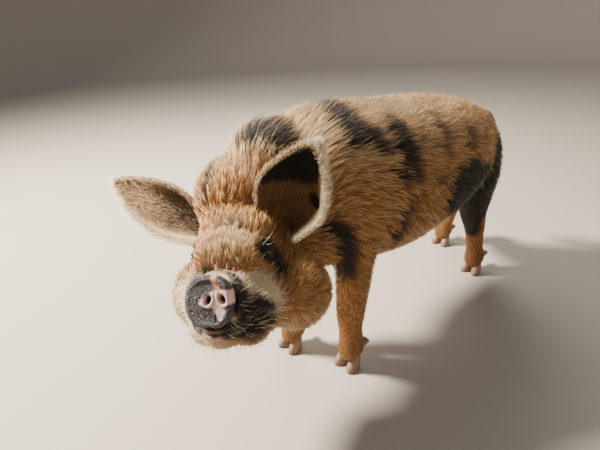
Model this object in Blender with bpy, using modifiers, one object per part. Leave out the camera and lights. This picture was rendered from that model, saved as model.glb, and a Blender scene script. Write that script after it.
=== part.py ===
"""A kunekune pig as a still, life-size model: standing, head turned to its left and lifted."""
import math
import random

import bmesh
import bpy
import numpy as np
from mathutils import Matrix, Vector
from mathutils.bvhtree import BVHTree

# Frame: +Z up, the pig faces -Y, its left side is +X, and its feet stand at z = 0
GAP = 0.0003                # free space between neighbouring pieces
WELD = 0.00004              # corners nearer than this become one
SPARE = 0.004               # what a body keeps beyond a cut until its locks are on
BACK_TOP = 0.632            # skin height over the shoulders
BARREL_HALF_WIDTH = 0.176   # half the width of the trunk without its coat
CORE_DEPTH = 0.006          # the dense undercoat that the locks grow from
LOCK_ROOT = 0.008           # how deep a lock's root is sunk
LOCK_RISE = 0.0085          # a tip's height over the undercoat
BODY_LOCK = (0.130, 0.076, 0.0060)   # length, width and thickness of a lock on the trunk
HEAD_LOCK = (0.072, 0.052, 0.0045)   # and on the head
TORSO_ROW_STEP = 0.092      # between two rows of locks along the trunk
TORSO_LOCK_STEP = 0.088     # between two locks of one row
NECK_LOCK_STEP = 0.079
LOCK_SEED = 41
HEAD_LOCK_STEP = 0.070
TRUNK_MIDDLE = Vector((0, 0, 0.46)) # a point of the line that the rows of locks go round
LOCK_ROW_RADIUS = 0.175     # rough radius that a row's spacing is counted on
FLESH_VOXEL = 0.007         # grain of the merged body before it is thinned
FLESH_SMOOTHING = 14        # passes that soften the joins of the merged body
TRUNK_TRIANGLES = 2000      # of the whole body in the copy that torso and neck are cut from
HEAD_TRIANGLES = 3400       # in the copy for the head
LEG_TRIANGLES = 4400        # and in the copy for the legs
SHIFT = Vector((0.0165, 0.1309, 0.0))   # from between the feet to the middle of the whole box

# The head's own frame: x to its left, y from the snout backwards, z up
SNOUT_POINT = Vector((0.155, -0.736, 0.446))
HEAD_TURN = math.radians(36)    # to the pig's left
HEAD_LIFT = math.radians(25)    # snout up
HEAD_TILT = math.radians(-6)    # left ear up
HEAD_BASIS = (Matrix.Rotation(HEAD_TURN, 4, "Z") @ Matrix.Rotation(-HEAD_LIFT, 4, "X")
              @ Matrix.Rotation(HEAD_TILT, 4, "Y"))
HEAD_FRAME = Matrix.Translation(SNOUT_POINT) @ HEAD_BASIS
HEAD_FRAME_BACK = HEAD_FRAME.inverted()

# Where each foot stands, x and y of the middle between its two toes
FEET = {
    "front_left": Vector((0.079, -0.331, 0)),
    "front_right": Vector((-0.079, -0.387, 0)),
    "hind_left": Vector((0.091, 0.301, 0)),
    "hind_right": Vector((-0.091, 0.416, 0)),
}
LEG_TOP = 0.232             # height of the cut between a leg and the trunk
CORONET = 0.034             # height of the cut between a leg and its hooves

EYE_RADIUS = 0.0115
EYE_PLACE = Vector((0.0655, 0.1060, 0.0610))    # the left eye's middle in the head's frame
EAR_LEFT_ROOT = Vector((0.084, 0.166, 0.120))
EAR_RIGHT_ROOT = Vector((-0.084, 0.168, 0.118))
EAR_LEFT_AXIS = Vector((0.056, -0.080, 0.100))
EAR_RIGHT_AXIS = Vector((-0.157, -0.010, 0.087))
EAR_LEFT_SIZE = (0.150, 0.064, 0.042)           # length, half width and depth of the cup
EAR_RIGHT_SIZE = (0.206, 0.047, 0.034)

# The mouth: its line runs round the muzzle, under the disc, and rises to its corners
MOUTH_MIDDLE = Vector((0, 0.062, -0.052))
MOUTH_RISE = 0.032
MOUTH_REACH = math.radians(100)
MOUTH_STEPS = 12
LIP = 0.0065                # half the width of both lips together
MOUTH_LINE = 0.0022         # half the height of the line between them

# The head ends just behind its ears and jowls, the neck in front of the shoulders
NECK_TURN = math.radians(34)
HEAD_CUT_NORMAL = Vector((-math.sin(NECK_TURN), math.cos(NECK_TURN), 0.12)).normalized()
HEAD_CUT = Vector((-0.036, -0.533, 0.483))
SHOULDER_CUT = Vector((0, -0.385, 0.45))
SHOULDER_CUT_NORMAL = Vector((0, 1, -0.35)).normalized()


def clear_scene():
    for obj in list(bpy.data.objects):
        bpy.data.objects.remove(obj, do_unlink=True)


def make_collection(name):
    collection = bpy.data.collections.new(name)
    bpy.context.scene.collection.children.link(collection)
    return collection


clear_scene()
PIG = make_collection("kunekune_pig")
CUTTERS = make_collection("cutters")
LOCKS = make_collection("locks")


def make_material(name, color, roughness):
    material = bpy.data.materials.new(name)
    material.use_nodes = True
    shader = material.node_tree.nodes["Principled BSDF"]
    shader.inputs["Base Color"].default_value = (*color, 1)
    shader.inputs["Roughness"].default_value = roughness
    shader.inputs["Metallic"].default_value = 0
    material.diffuse_color = (*color, 1)
    return material


GINGER_COAT = make_material("ginger_coat", (0.55, 0.33, 0.15), 0.75)
CREAM_COAT = make_material("cream_coat", (0.72, 0.58, 0.38), 0.75)
EAR_COAT = make_material("ear_coat", (0.35, 0.25, 0.16), 0.75)
SNOUT_SKIN = make_material("snout_skin", (0.30, 0.24, 0.25), 0.5)
HORN = make_material("hoof_horn", (0.55, 0.40, 0.30), 0.45)
EYE = make_material("dark_eye", (0.03, 0.02, 0.015), 0.1)


def mesh_object(name, mesh, collection=PIG):
    obj = bpy.data.objects.new(name, mesh)
    collection.objects.link(obj)
    return obj


def remove(obj):
    mesh = obj.data
    bpy.data.objects.remove(obj, do_unlink=True)
    bpy.data.meshes.remove(mesh)


def from_bmesh(name, bm, collection=PIG):
    bm.normal_update()
    bmesh.ops.recalc_face_normals(bm, faces=bm.faces)
    mesh = bpy.data.meshes.new(name)
    bm.to_mesh(mesh)
    bm.free()
    return mesh_object(name, mesh, collection)


def bake(obj):
    """Replace an object's mesh by its evaluated one and drop its modifiers."""
    bpy.context.view_layer.update()
    graph = bpy.context.evaluated_depsgraph_get()
    baked = bpy.data.meshes.new_from_object(obj.evaluated_get(graph))
    old = obj.data
    obj.modifiers.clear()
    obj.data = baked
    bpy.data.meshes.remove(old)
    return obj


def smooth_rows(rows, count):
    """Rows of numbers along a path, resampled on a smooth curve through all of them."""
    rows = np.array(rows, dtype=float)
    padded = np.vstack([2 * rows[0] - rows[1], rows, 2 * rows[-1] - rows[-2]])
    out = []
    for value in np.linspace(0, len(rows) - 1, count):
        at = min(int(value), len(rows) - 2)
        t = value - at
        a, b, c, d = padded[at:at + 4]
        out.append(0.5 * (2 * b + (c - a) * t + (2 * a - 5 * b + 4 * c - d) * t * t
                          + (3 * b - a - 3 * c + d) * t ** 3))
    return out


def superellipse(angle, power):
    """A point of a unit outline between a circle (2) and a square (large power)."""
    c, s = math.cos(angle), math.sin(angle)
    return (math.copysign(abs(c) ** (2 / power), c), math.copysign(abs(s) ** (2 / power), s))


def sweep(name, rows, side=(1, 0, 0), sides=28, rings=28, power=2.0, sag=0.0, collection=PIG):
    """A closed body through rows of x, y, z, half width along side, and half depth across it.

    sag makes the lower half wider than the upper one, as in a belly.
    """
    rows = smooth_rows(rows, rings)
    side = Vector(side)
    last_up = Vector((0, 0, 1))
    bm = bmesh.new()
    loops = []
    for index, row in enumerate(rows):
        here = Vector(row[:3])
        before = Vector(rows[max(index - 1, 0)][:3])
        after = Vector(rows[min(index + 1, len(rows) - 1)][:3])
        along = (after - before).normalized()
        across = (side - along * side.dot(along)).normalized()
        up = across.cross(along).normalized()
        if up.dot(last_up) < 0:
            up = -up
        last_up = up
        loop = []
        for k in range(sides):
            c, s = superellipse(2 * math.pi * k / sides, power)
            width = max(row[3], 0.001) * (1 - sag * s)
            loop.append(bm.verts.new(here + across * width * c + up * max(row[4], 0.001) * s))
        loops.append(loop)
    for a, b in zip(loops, loops[1:]):
        for k in range(sides):
            bm.faces.new((a[k], a[(k + 1) % sides], b[(k + 1) % sides], b[k]))
    bm.faces.new(loops[0])
    bm.faces.new(loops[-1])
    return from_bmesh(name, bm, collection)


def ellipsoid(name, centre, radii, frame=Matrix.Identity(4), turn=None, collection=PIG,
              segments=24, rings=14):
    """A ball stretched to three radii, placed in a frame."""
    bm = bmesh.new()
    bmesh.ops.create_uvsphere(bm, u_segments=segments, v_segments=rings, radius=1)
    turned = turn.to_matrix().to_4x4() if turn else Matrix.Identity(4)
    place = frame @ Matrix.Translation(Vector(centre)) @ turned @ Matrix.Diagonal((*radii, 1))
    bm.transform(place)
    return from_bmesh(name, bm, collection)


def head_point(x, y, z):
    return HEAD_FRAME @ Vector((x, y, z))


def trunk():
    """Chest to rump: y, height of the back, height of the belly, half width."""
    wide = BARREL_HALF_WIDTH
    sections = [
        (-0.455, 0.50, 0.40, 0.050),
        (-0.430, 0.575, 0.345, 0.105),
        (-0.370, BACK_TOP + 0.005, 0.310, 0.140),
        (-0.270, BACK_TOP + 0.005, 0.290, 0.160),
        (-0.140, BACK_TOP - 0.003, 0.270, wide),
        (0.020, BACK_TOP - 0.013, 0.285, wide - 0.004),
        (0.140, BACK_TOP - 0.032, 0.308, 0.158),
        (0.240, BACK_TOP - 0.060, 0.325, 0.132),
        (0.320, BACK_TOP - 0.098, 0.345, 0.104),
        (0.375, BACK_TOP - 0.145, 0.370, 0.072),
        (0.405, BACK_TOP - 0.190, 0.395, 0.036),
    ]
    rows = [(0, y, (top + low) / 2, half, (top - low) / 2) for y, top, low, half in sections]
    return sweep("trunk", rows, rings=40, sides=36, power=2.25, sag=0.06)


def neck():
    """From deep in the chest to the back of the head, heavy along its crest."""
    rows = [
        (0, -0.24, 0.462, 0.140, 0.155),
        (0, -0.36, 0.462, 0.134, 0.160),
        (-0.008, -0.44, 0.452, 0.116, 0.148),
        (-0.014, -0.51, 0.436, 0.098, 0.128),
        (-0.002, -0.58, 0.410, 0.080, 0.098),
    ]
    throat = sweep("neck_mass", rows, rings=24, power=2.2)
    tip_down = Matrix.Rotation(math.radians(-14), 3, "X").to_quaternion()
    crest = ellipsoid("crest", (-0.020, -0.440, 0.550), (0.074, 0.120, 0.082), turn=tip_down)
    poll = ellipsoid("poll", (-0.022, -0.545, 0.508), (0.074, 0.088, 0.084))
    return [throat, crest, poll]


def skull():
    """The head along its own y: from the muzzle's front to the poll."""
    sections = [
        (0.004, 0.036, -0.038, 0.033),
        (0.030, 0.040, -0.052, 0.039),
        (0.060, 0.048, -0.066, 0.049),
        (0.085, 0.064, -0.077, 0.062),
        (0.110, 0.096, -0.083, 0.075),
        (0.140, 0.122, -0.087, 0.085),
        (0.180, 0.138, -0.088, 0.093),
        (0.230, 0.144, -0.088, 0.099),
        (0.280, 0.136, -0.082, 0.100),
        (0.315, 0.105, -0.052, 0.070),
    ]
    rows = [(0, y, (top + low) / 2, half, (top - low) / 2) for y, top, low, half in sections]
    body = sweep("skull", rows, rings=36, sides=32, power=2.2, sag=0.10)
    body.data.transform(HEAD_FRAME)
    pieces = [body]
    for side in (1, -1):
        pieces.append(ellipsoid("jowl", (side * 0.076, 0.185, -0.012), (0.061, 0.092, 0.066),
                                HEAD_FRAME))
        pieces.append(ellipsoid("jaw_side", (side * 0.034, 0.084, -0.052), (0.034, 0.054, 0.035),
                                HEAD_FRAME))
        pieces.append(ellipsoid("cheek", (side * 0.050, 0.112, -0.020), (0.040, 0.052, 0.050),
                                HEAD_FRAME))
        pieces.append(ellipsoid("brow", (side * 0.044, 0.114, 0.074), (0.034, 0.024, 0.020),
                                HEAD_FRAME))
        pieces.append(ellipsoid("muzzle_side", (side * 0.020, 0.032, 0.000),
                                (0.028, 0.038, 0.036), HEAD_FRAME))
    pieces.append(ellipsoid("forehead", (0, 0.150, 0.092), (0.070, 0.058, 0.058), HEAD_FRAME))
    pieces.append(ellipsoid("chin", (0, 0.044, -0.058), (0.032, 0.034, 0.024), HEAD_FRAME))
    return pieces


def front_leg(name):
    """Shoulder, elbow, knee, fetlock and pastern over one front foot."""
    foot = FEET[name]
    side = math.copysign(1, foot.x)
    reach = foot.y - FEET["front_left"].y
    rows = [
        (side * 0.088, -0.310, 0.440, 0.050, 0.070),
        (side * 0.088, -0.322 + reach * 0.10, 0.350, 0.046, 0.050),
        (side * 0.086, -0.324 + reach * 0.30, 0.270, 0.038, 0.041),
        (side * 0.082, -0.326 + reach * 0.70, 0.195, 0.034, 0.036),
        (side * 0.078, foot.y + 0.006 - reach * 0.10, 0.150, 0.031, 0.034),
        (foot.x, foot.y + 0.006, 0.105, 0.026, 0.029),
        (foot.x, foot.y + 0.010, 0.066, 0.031, 0.033),
        (foot.x, foot.y + 0.003, 0.038, 0.030, 0.031),
        (foot.x, foot.y - 0.001, 0.020, 0.031, 0.032),
    ]
    return sweep("leg_mass", rows, rings=34, sides=20, power=2.15)


def hind_leg(name):
    """Ham, stifle, hock, cannon and pastern over one hind foot."""
    foot = FEET[name]
    side = math.copysign(1, foot.x)
    reach = foot.y - FEET["hind_left"].y
    rows = [
        (side * 0.080, 0.235, 0.450, 0.054, 0.095),
        (side * 0.086, 0.245 + reach * 0.20, 0.370, 0.056, 0.088),
        (side * 0.084, 0.262 + reach * 0.45, 0.290, 0.045, 0.062),
        (side * 0.078, 0.284 + reach * 0.80, 0.225, 0.035, 0.044),
        (side * 0.078, foot.y + 0.004 + reach * 0.2, 0.178, 0.030, 0.037),
        (side * 0.082, foot.y + 0.008 + reach * 0.1, 0.130, 0.026, 0.030),
        (side * 0.087, foot.y + 0.008, 0.090, 0.026, 0.028),
        (foot.x, foot.y + 0.008, 0.062, 0.031, 0.032),
        (foot.x, foot.y + 0.003, 0.038, 0.030, 0.031),
        (foot.x, foot.y - 0.001, 0.020, 0.031, 0.032),
    ]
    return sweep("leg_mass", rows, rings=38, sides=20, power=2.15)


def ham(name):
    side = math.copysign(1, FEET[name].x)
    reach = FEET[name].y - FEET["hind_left"].y
    return ellipsoid("ham", (side * 0.074, 0.245 + reach * 0.20, 0.410), (0.066, 0.100, 0.115))


def shoulder(name):
    side = math.copysign(1, FEET[name].x)
    return ellipsoid("shoulder", (side * 0.092, -0.320, 0.440), (0.062, 0.078, 0.120))


def merged(name, pieces, voxel, smoothing):
    """One closed skin over overlapping bodies, its joins rounded."""
    bm = bmesh.new()
    for piece in pieces:
        bm.from_mesh(piece.data)
        remove(piece)
    obj = from_bmesh(name, bm)
    remesh = obj.modifiers.new("remesh", "REMESH")
    remesh.mode = "VOXEL"
    remesh.voxel_size = voxel
    relax = obj.modifiers.new("relax", "SMOOTH")
    relax.factor = 0.5
    relax.iterations = smoothing
    return bake(obj)


def ramp(value, low, high):
    """0 below low, 1 above high, smooth between."""
    t = min(1, max(0, (value - low) / (high - low)))
    return t * t * (3 - 2 * t)


def coat_share(point):
    """How full the coat is at a place: 1 on the trunk, little on the face and the legs."""
    in_head = HEAD_FRAME_BACK @ point
    face = ramp(in_head.y, 0.070, 0.170) * 0.80 + 0.20
    if in_head.y > 0.30:
        face = 1
    legs = 0.20 + 0.80 * ramp(point.z, 0.20, 0.32)
    return min(face, legs)


def thinned(obj, triangles, push=0.0):
    """A lighter copy of a body, its surface pushed outwards by the coat's depth."""
    copy = obj.copy()
    copy.data = obj.data.copy()
    PIG.objects.link(copy)
    if push:
        normals = [vert.normal.copy() for vert in copy.data.vertices]
        places = [vert.co.copy() for vert in copy.data.vertices]
        for vert, place, normal in zip(copy.data.vertices, places, normals):
            vert.co = place + normal * push * coat_share(place)
    split = copy.modifiers.new("split", "TRIANGULATE")
    split.quad_method = "BEAUTY"
    bake(copy)
    thin = copy.modifiers.new("thin", "DECIMATE")
    thin.ratio = min(1, triangles / len(copy.data.polygons))
    return bake(copy)


def cut_away(obj, point, normal):
    """Remove what lies beyond a plane, on the side that normal points to, and close the cut."""
    bm = bmesh.new()
    bm.from_mesh(obj.data)
    everything = list(bm.verts) + list(bm.edges) + list(bm.faces)
    bmesh.ops.bisect_plane(bm, geom=everything, plane_co=point, plane_no=normal,
                           clear_outer=True, dist=1e-6)
    rim = [edge for edge in bm.edges if edge.is_boundary]
    filled = bmesh.ops.holes_fill(bm, edges=rim, sides=0)
    bmesh.ops.triangulate(bm, faces=filled["faces"])
    bm.normal_update()
    bmesh.ops.recalc_face_normals(bm, faces=bm.faces)
    bm.to_mesh(obj.data)
    bm.free()
    return obj


def keep_largest(obj):
    """Keep the biggest of a mesh's closed surfaces, by the size of its box."""
    bm = bmesh.new()
    bm.from_mesh(obj.data)
    unseen = set(bm.verts)
    groups = []
    while unseen:
        seed = unseen.pop()
        group = {seed}
        edge_of_group = [seed]
        while edge_of_group:
            vert = edge_of_group.pop()
            for edge in vert.link_edges:
                other = edge.other_vert(vert)
                if other in unseen:
                    unseen.discard(other)
                    group.add(other)
                    edge_of_group.append(other)
        groups.append(group)

    def spread(group):
        points = np.array([v.co for v in group])
        return float(np.linalg.norm(points.max(0) - points.min(0)))

    groups.sort(key=spread, reverse=True)
    for group in groups[1:]:
        bmesh.ops.delete(bm, geom=list(group), context="VERTS")
    bm.to_mesh(obj.data)
    bm.free()
    return obj


def tidied(obj):
    """Weld corners that almost meet and drop the slivers between them."""
    bm = bmesh.new()
    bm.from_mesh(obj.data)
    bmesh.ops.remove_doubles(bm, verts=bm.verts, dist=WELD)
    bmesh.ops.dissolve_degenerate(bm, edges=bm.edges, dist=WELD)
    bmesh.ops.triangulate(bm, faces=bm.faces)
    bm.to_mesh(obj.data)
    bm.free()
    return obj


def boolean(obj, cutter, operation, solver="MANIFOLD"):
    """Cut or join one object with another and remove the second."""
    step = obj.modifiers.new(operation.lower(), "BOOLEAN")
    step.operation = operation
    step.solver = solver
    step.object = cutter
    bake(obj)
    remove(cutter)
    return obj


def trimmed_by(obj, parent):
    """Cut a piece back to its parent's surface, leaving the gap."""
    shadow = parent.copy()
    shadow.data = parent.data.copy()
    CUTTERS.objects.link(shadow)
    swell = shadow.modifiers.new("swell", "DISPLACE")
    swell.mid_level = 0
    swell.strength = GAP
    bake(shadow)
    boolean(obj, shadow, "DIFFERENCE")
    return keep_largest(obj)


def body_mass():
    """Everything of flesh but the ears and the tail, as one closed skin."""
    pieces = [trunk()] + neck() + skull()
    for name in FEET:
        if name.startswith("front"):
            pieces += [front_leg(name), shoulder(name)]
        else:
            pieces += [hind_leg(name), ham(name)]
    return merged("flesh", pieces, FLESH_VOXEL, FLESH_SMOOTHING)


def lie_on_body(place):
    """The way the bristles lie on trunk and neck: backwards, and down over the flanks."""
    flank = min(1, abs(place.x) / BARREL_HALF_WIDTH)
    return Vector((0, 1, -0.55 * flank))


def lie_on_head(place):
    """From the muzzle backwards, up over the forehead and down over the jowls."""
    here = HEAD_FRAME_BACK @ place
    return HEAD_BASIS @ Vector((1.5 * here.x, 1, 0.2 + 8 * here.z))


def lock(surface, root, lie, size, rise, roll):
    """One flat, tapered lock: sunk at its root, bent along the surface, out to its tip."""
    length, width, thick = size
    bm = bmesh.new()
    loops = []
    spot, normal = root
    along = (lie - normal * lie.dot(normal)).normalized()
    stations = [(0.0, -LOCK_ROOT, 0.75), (0.38, 0.15 * rise, 1.0), (0.74, 0.45 * rise, 0.86)]
    here = spot
    for share, height, spread in stations + [(1.0, rise, 0)]:
        nearest, normal, _, _ = surface.find_nearest(spot + along * length * share)
        here = nearest + normal * height
        if share == 1.0:
            break
        across = (Matrix.Rotation(roll, 3, normal) @ along).cross(normal).normalized()
        half = across * width / 2 * spread
        deep = normal * thick
        loops.append([bm.verts.new(here + half), bm.verts.new(here + deep),
                      bm.verts.new(here - half)])
    tip = bm.verts.new(here)
    for a, b in zip(loops, loops[1:]):
        for k in range(3):
            bm.faces.new((a[k], a[(k + 1) % 3], b[(k + 1) % 3], b[k]))
    for k in range(3):
        bm.faces.new((loops[-1][k], loops[-1][(k + 1) % 3], tip))
    bm.faces.new(loops[0])
    bmesh.ops.triangulate(bm, faces=bm.faces)
    return from_bmesh("lock", bm, LOCKS)


def surface_of(obj):
    """A body's surface, to be asked for its nearest point or for where a ray meets it."""
    bm = bmesh.new()
    bm.from_mesh(obj.data)
    tree = BVHTree.FromBMesh(bm)
    bm.free()
    return tree


def grow(obj, roots, lie, size, rise):
    """Set a lock on each root, join them all to the body and keep one closed surface."""
    draw = random.Random(LOCK_SEED)
    surface = surface_of(obj)
    for root in roots(surface):
        scale = draw.uniform(0.88, 1.12)
        jitter = Vector([draw.uniform(-0.12, 0.12) for _ in range(3)])
        heading = lie(root[0]).normalized() + jitter
        lock(surface, root, heading, [part * scale for part in size],
             rise * draw.uniform(0.85, 1.15), draw.uniform(-0.15, 0.15))
    join = obj.modifiers.new("locks", "BOOLEAN")
    join.operation = "UNION"
    join.operand_type = "COLLECTION"
    join.collection = LOCKS
    join.solver = "MANIFOLD"
    bake(obj)
    for piece in list(LOCKS.objects):
        remove(piece)
    return keep_largest(obj)


def rows_round(surface, middle, along, up, stations, step, spread, clear):
    """Roots in staggered rows round an axis: rays from its points out to the surface."""
    side = along.cross(up).normalized()
    found = []
    for row, distance in enumerate(stations):
        start = middle + along * distance
        count = max(3, round(2 * spread * LOCK_ROW_RADIUS / step))
        for k in range(count + 1):
            angle = -spread + 2 * spread * (k + 0.5 * (row % 2)) / count
            if angle > spread:
                continue
            way = up * math.cos(angle) + side * math.sin(angle)
            hit, normal, _, _ = surface.ray_cast(start, way)
            if hit is not None and clear(hit):
                found.append((hit, normal))
    return found


def away_from(points, distance):
    """A test that a place lies further than a distance from every one of some points."""
    return lambda place: all((place - point).length > distance for point in points)


def torso_roots(surface):
    def clear(place):
        ahead = (place - SHOULDER_CUT).dot(SHOULDER_CUT_NORMAL)
        return ahead > 0.012 and place.z > 0.315 and place.y < 0.385

    stations = [-0.375 + TORSO_ROW_STEP * k for k in range(9)]
    return rows_round(surface, TRUNK_MIDDLE, Vector((0, 1, 0)), Vector((0, 0, 1)),
                      stations, TORSO_LOCK_STEP, math.radians(122), clear)


def neck_roots(surface):
    def clear(place):
        behind = (place - SHOULDER_CUT).dot(SHOULDER_CUT_NORMAL)
        ahead = (place - HEAD_CUT).dot(HEAD_CUT_NORMAL)
        return behind < -0.020 and ahead > 0.014 and place.z > 0.33

    stations = [-0.430, -0.485]
    return rows_round(surface, TRUNK_MIDDLE, Vector((0, 1, 0)), Vector((0, 0, 1)),
                      stations, NECK_LOCK_STEP, math.radians(115), clear)


def head_roots(surface):
    eyes_at = [head_point(side * EYE_PLACE.x, EYE_PLACE.y, EYE_PLACE.z) for side in (1, -1)]
    ears_at = [head_point(*EAR_LEFT_ROOT), head_point(*EAR_RIGHT_ROOT)]
    off_eyes = away_from(eyes_at, 0.034)
    off_ears = away_from(ears_at, 0.066)

    def clear(place):
        ahead = (place - HEAD_CUT).dot(HEAD_CUT_NORMAL)
        return ahead < -0.022 and off_eyes(place) and off_ears(place)

    along = HEAD_BASIS @ Vector((0, 1, 0))
    up = HEAD_BASIS @ Vector((0, 0, 1))
    cheeks = rows_round(surface, head_point(0, 0, 0), along, up, [0.125, 0.165, 0.205],
                        HEAD_LOCK_STEP, math.radians(150), clear)
    forehead = rows_round(surface, head_point(0, 0.20, 0.05), up, -along,
                          [0.036, 0.078, 0.120, 0.160], HEAD_LOCK_STEP, math.radians(62), clear)
    return forehead + [root for root in cheeks if (HEAD_FRAME_BACK @ root[0]).z < 0.070]


def finish_piece(obj, name, material):
    obj.name = name
    obj.data.name = name
    obj.data.materials.clear()
    obj.data.materials.append(material)
    obj.data.shade_smooth()
    return obj


def make_body(push):
    """Four finished legs, and torso, neck and head with some spare beyond their cuts."""
    flesh = body_mass()
    coarse = thinned(flesh, TRUNK_TRIANGLES, push)
    fine = thinned(flesh, HEAD_TRIANGLES, push)
    bare = thinned(flesh, LEG_TRIANGLES)
    remove(flesh)
    level = Vector((0, 0, 1))
    low = Vector((0, 0, LEG_TOP))
    half_gap = GAP / 2

    head = fine
    cut_away(head, HEAD_CUT + HEAD_CUT_NORMAL * SPARE, HEAD_CUT_NORMAL)
    keep_largest(head)

    torso = coarse
    neck_piece = torso.copy()
    neck_piece.data = torso.data.copy()
    PIG.objects.link(neck_piece)
    cut_away(torso, SHOULDER_CUT - SHOULDER_CUT_NORMAL * SPARE, -SHOULDER_CUT_NORMAL)
    cut_away(torso, low - level * SPARE, -level)
    keep_largest(torso)
    cut_away(neck_piece, SHOULDER_CUT + SHOULDER_CUT_NORMAL * SPARE, SHOULDER_CUT_NORMAL)
    cut_away(neck_piece, HEAD_CUT - HEAD_CUT_NORMAL * SPARE, -HEAD_CUT_NORMAL)
    keep_largest(neck_piece)

    legs = {}
    for name, foot in FEET.items():
        leg = bare.copy()
        leg.data = bare.data.copy()
        PIG.objects.link(leg)
        side = Vector((math.copysign(1, foot.x), 0, 0))
        cut_away(leg, low - level * half_gap, level)
        cut_away(leg, Vector((0, 0, CORONET)) + level * half_gap, -level)
        cut_away(leg, Vector((0, 0, 0)), -side)
        forward = Vector((0, math.copysign(1, foot.y), 0))
        cut_away(leg, Vector((0, 0, 0)), -forward)
        legs[name] = keep_largest(leg)
    remove(bare)
    return torso, neck_piece, head, legs


def hoof(name, foot, side, front):
    """One toe's horn: a flat sole, a rounded tip and sides that lean in upwards."""
    length = 0.046 if front else 0.043
    lean = Matrix.Rotation(side * math.radians(11), 4, "Z")
    rows = [(0.0, -0.004, 0.0150, 1.0), (0.010, -0.003, 0.0150, 0.98),
            (0.022, 0.001, 0.0140, 0.88), (CORONET - GAP / 2, 0.006, 0.0125, 0.72)]
    bm = bmesh.new()
    loops = []
    corners = 12
    for z, slide, half_width, share in rows:
        loop = []
        for k in range(corners):
            angle = 2 * math.pi * k / corners
            c, s = superellipse(angle, 2.4)
            taper = 1 - 0.22 * max(-s, 0)
            point = Vector((half_width * c * taper, slide + length / 2 * share * s, z))
            loop.append(bm.verts.new(lean @ point))
        loops.append(loop)
    for a, b in zip(loops, loops[1:]):
        for k in range(corners):
            bm.faces.new((a[k], a[(k + 1) % corners], b[(k + 1) % corners], b[k]))
    bm.faces.new(loops[0])
    bm.faces.new(loops[-1])
    bm.transform(Matrix.Translation(foot + Vector((side * 0.0175, -0.002, 0))))
    return finish_piece(from_bmesh(name, bm), name, HORN)


def dewclaw(name, foot, side, leg, back):
    """A small horn cone behind the pastern, trimmed to the leg."""
    bm = bmesh.new()
    bmesh.ops.create_cone(bm, cap_ends=True, segments=8, radius1=0.0095, radius2=0.004, depth=0.026)
    place = (Matrix.Translation(foot + Vector((side * 0.018, back, 0.058)))
             @ Matrix.Rotation(math.radians(118), 4, "X"))
    bm.transform(place)
    claw = from_bmesh(name, bm)
    trimmed_by(claw, leg)
    return finish_piece(claw, name, HORN)


def ear(name, base, axis, facing, size, head):
    """A leaf-shaped shell, open to the front, its root trimmed to the head."""
    length, half_width, cup = size
    axis = axis.normalized()
    facing = (facing - axis * facing.dot(axis)).normalized()
    side = axis.cross(facing).normalized()
    profile = smooth_rows([(-0.16, 0.50, 1.0), (0.0, 0.72, 1.0), (0.25, 0.98, 0.85),
                           (0.45, 0.96, 0.62), (0.68, 0.70, 0.42), (0.88, 0.33, 0.25),
                           (1.0, 0.06, 0.15)], 12)
    across = 8
    bm = bmesh.new()
    grid = []
    for share, width, depth in profile:
        row = []
        for k in range(across + 1):
            t = 2 * k / across - 1
            bend = axis * length * share - facing * 0.16 * length * share * share
            point = (base + bend + side * half_width * width * math.sin(t * 1.25) / 0.949
                     + facing * cup * depth * (t * t - 0.45))
            row.append(bm.verts.new(point))
        grid.append(row)
    for a, b in zip(grid, grid[1:]):
        for k in range(across):
            bm.faces.new((a[k], a[k + 1], b[k + 1], b[k]))
    mesh = bpy.data.meshes.new(name)
    bm.to_mesh(mesh)
    bm.free()
    obj = mesh_object(name, mesh)
    shell = obj.modifiers.new("thickness", "SOLIDIFY")
    shell.thickness = 0.006
    shell.offset = 0
    bake(obj)
    trimmed_by(obj, head)
    return finish_piece(obj, name, EAR_COAT)


def tail(torso):
    """A thin tail that hangs from the rump with one loose bend."""
    rows = [
        (0.0, 0.400, 0.505, 0.016, 0.016),
        (0.0, 0.450, 0.500, 0.0145, 0.0145),
        (0.012, 0.482, 0.460, 0.0125, 0.0125),
        (0.026, 0.480, 0.405, 0.0100, 0.0100),
        (0.014, 0.478, 0.360, 0.0080, 0.0080),
        (-0.006, 0.490, 0.325, 0.0060, 0.0060),
        (-0.010, 0.505, 0.300, 0.0030, 0.0030),
    ]
    obj = sweep("tail", rows, rings=18, sides=10)
    trimmed_by(obj, torso)
    return finish_piece(obj, "tail", GINGER_COAT)


def snout_disc(head):
    """The flat nose disc with its two nostrils, set on the muzzle's cut front."""
    front = HEAD_BASIS @ Vector((0, -1, 0))
    seat = head_point(0, 0.012, 0)
    cut_away(head, seat - front * GAP / 2, front)
    rows = [(-0.012, 0.0345, 0.037), (-0.004, 0.0375, 0.0405), (0.004, 0.0370, 0.040),
            (0.0105, 0.0345, 0.037), (0.0120 - GAP / 2, 0.033, 0.036)]
    bm = bmesh.new()
    corners = 26
    loops = []
    for y, half_width, half_height in rows:
        loop = []
        for k in range(corners):
            angle = 2 * math.pi * k / corners
            c, s = superellipse(angle, 2.25)
            notch = 0.005 * math.exp(-((angle - 1.5 * math.pi) / 0.22) ** 2)
            loop.append(bm.verts.new((half_width * c, y, half_height * s + notch)))
        loops.append(loop)
    for a, b in zip(loops, loops[1:]):
        for k in range(corners):
            bm.faces.new((a[k], a[(k + 1) % corners], b[(k + 1) % corners], b[k]))
    bm.faces.new(loops[0])
    bm.faces.new(loops[-1])
    bm.transform(HEAD_FRAME)
    disc = from_bmesh("snout", bm)
    for side in (1, -1):
        hole = ellipsoid("nostril", (side * 0.0155, -0.013, 0.004), (0.0065, 0.013, 0.0085),
                         HEAD_FRAME, segments=12, rings=8, collection=CUTTERS,
                         turn=Matrix.Rotation(side * math.radians(12), 3, "Y").to_quaternion())
        boolean(disc, hole, "DIFFERENCE")
    return finish_piece(disc, "snout", SNOUT_SKIN)


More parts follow.
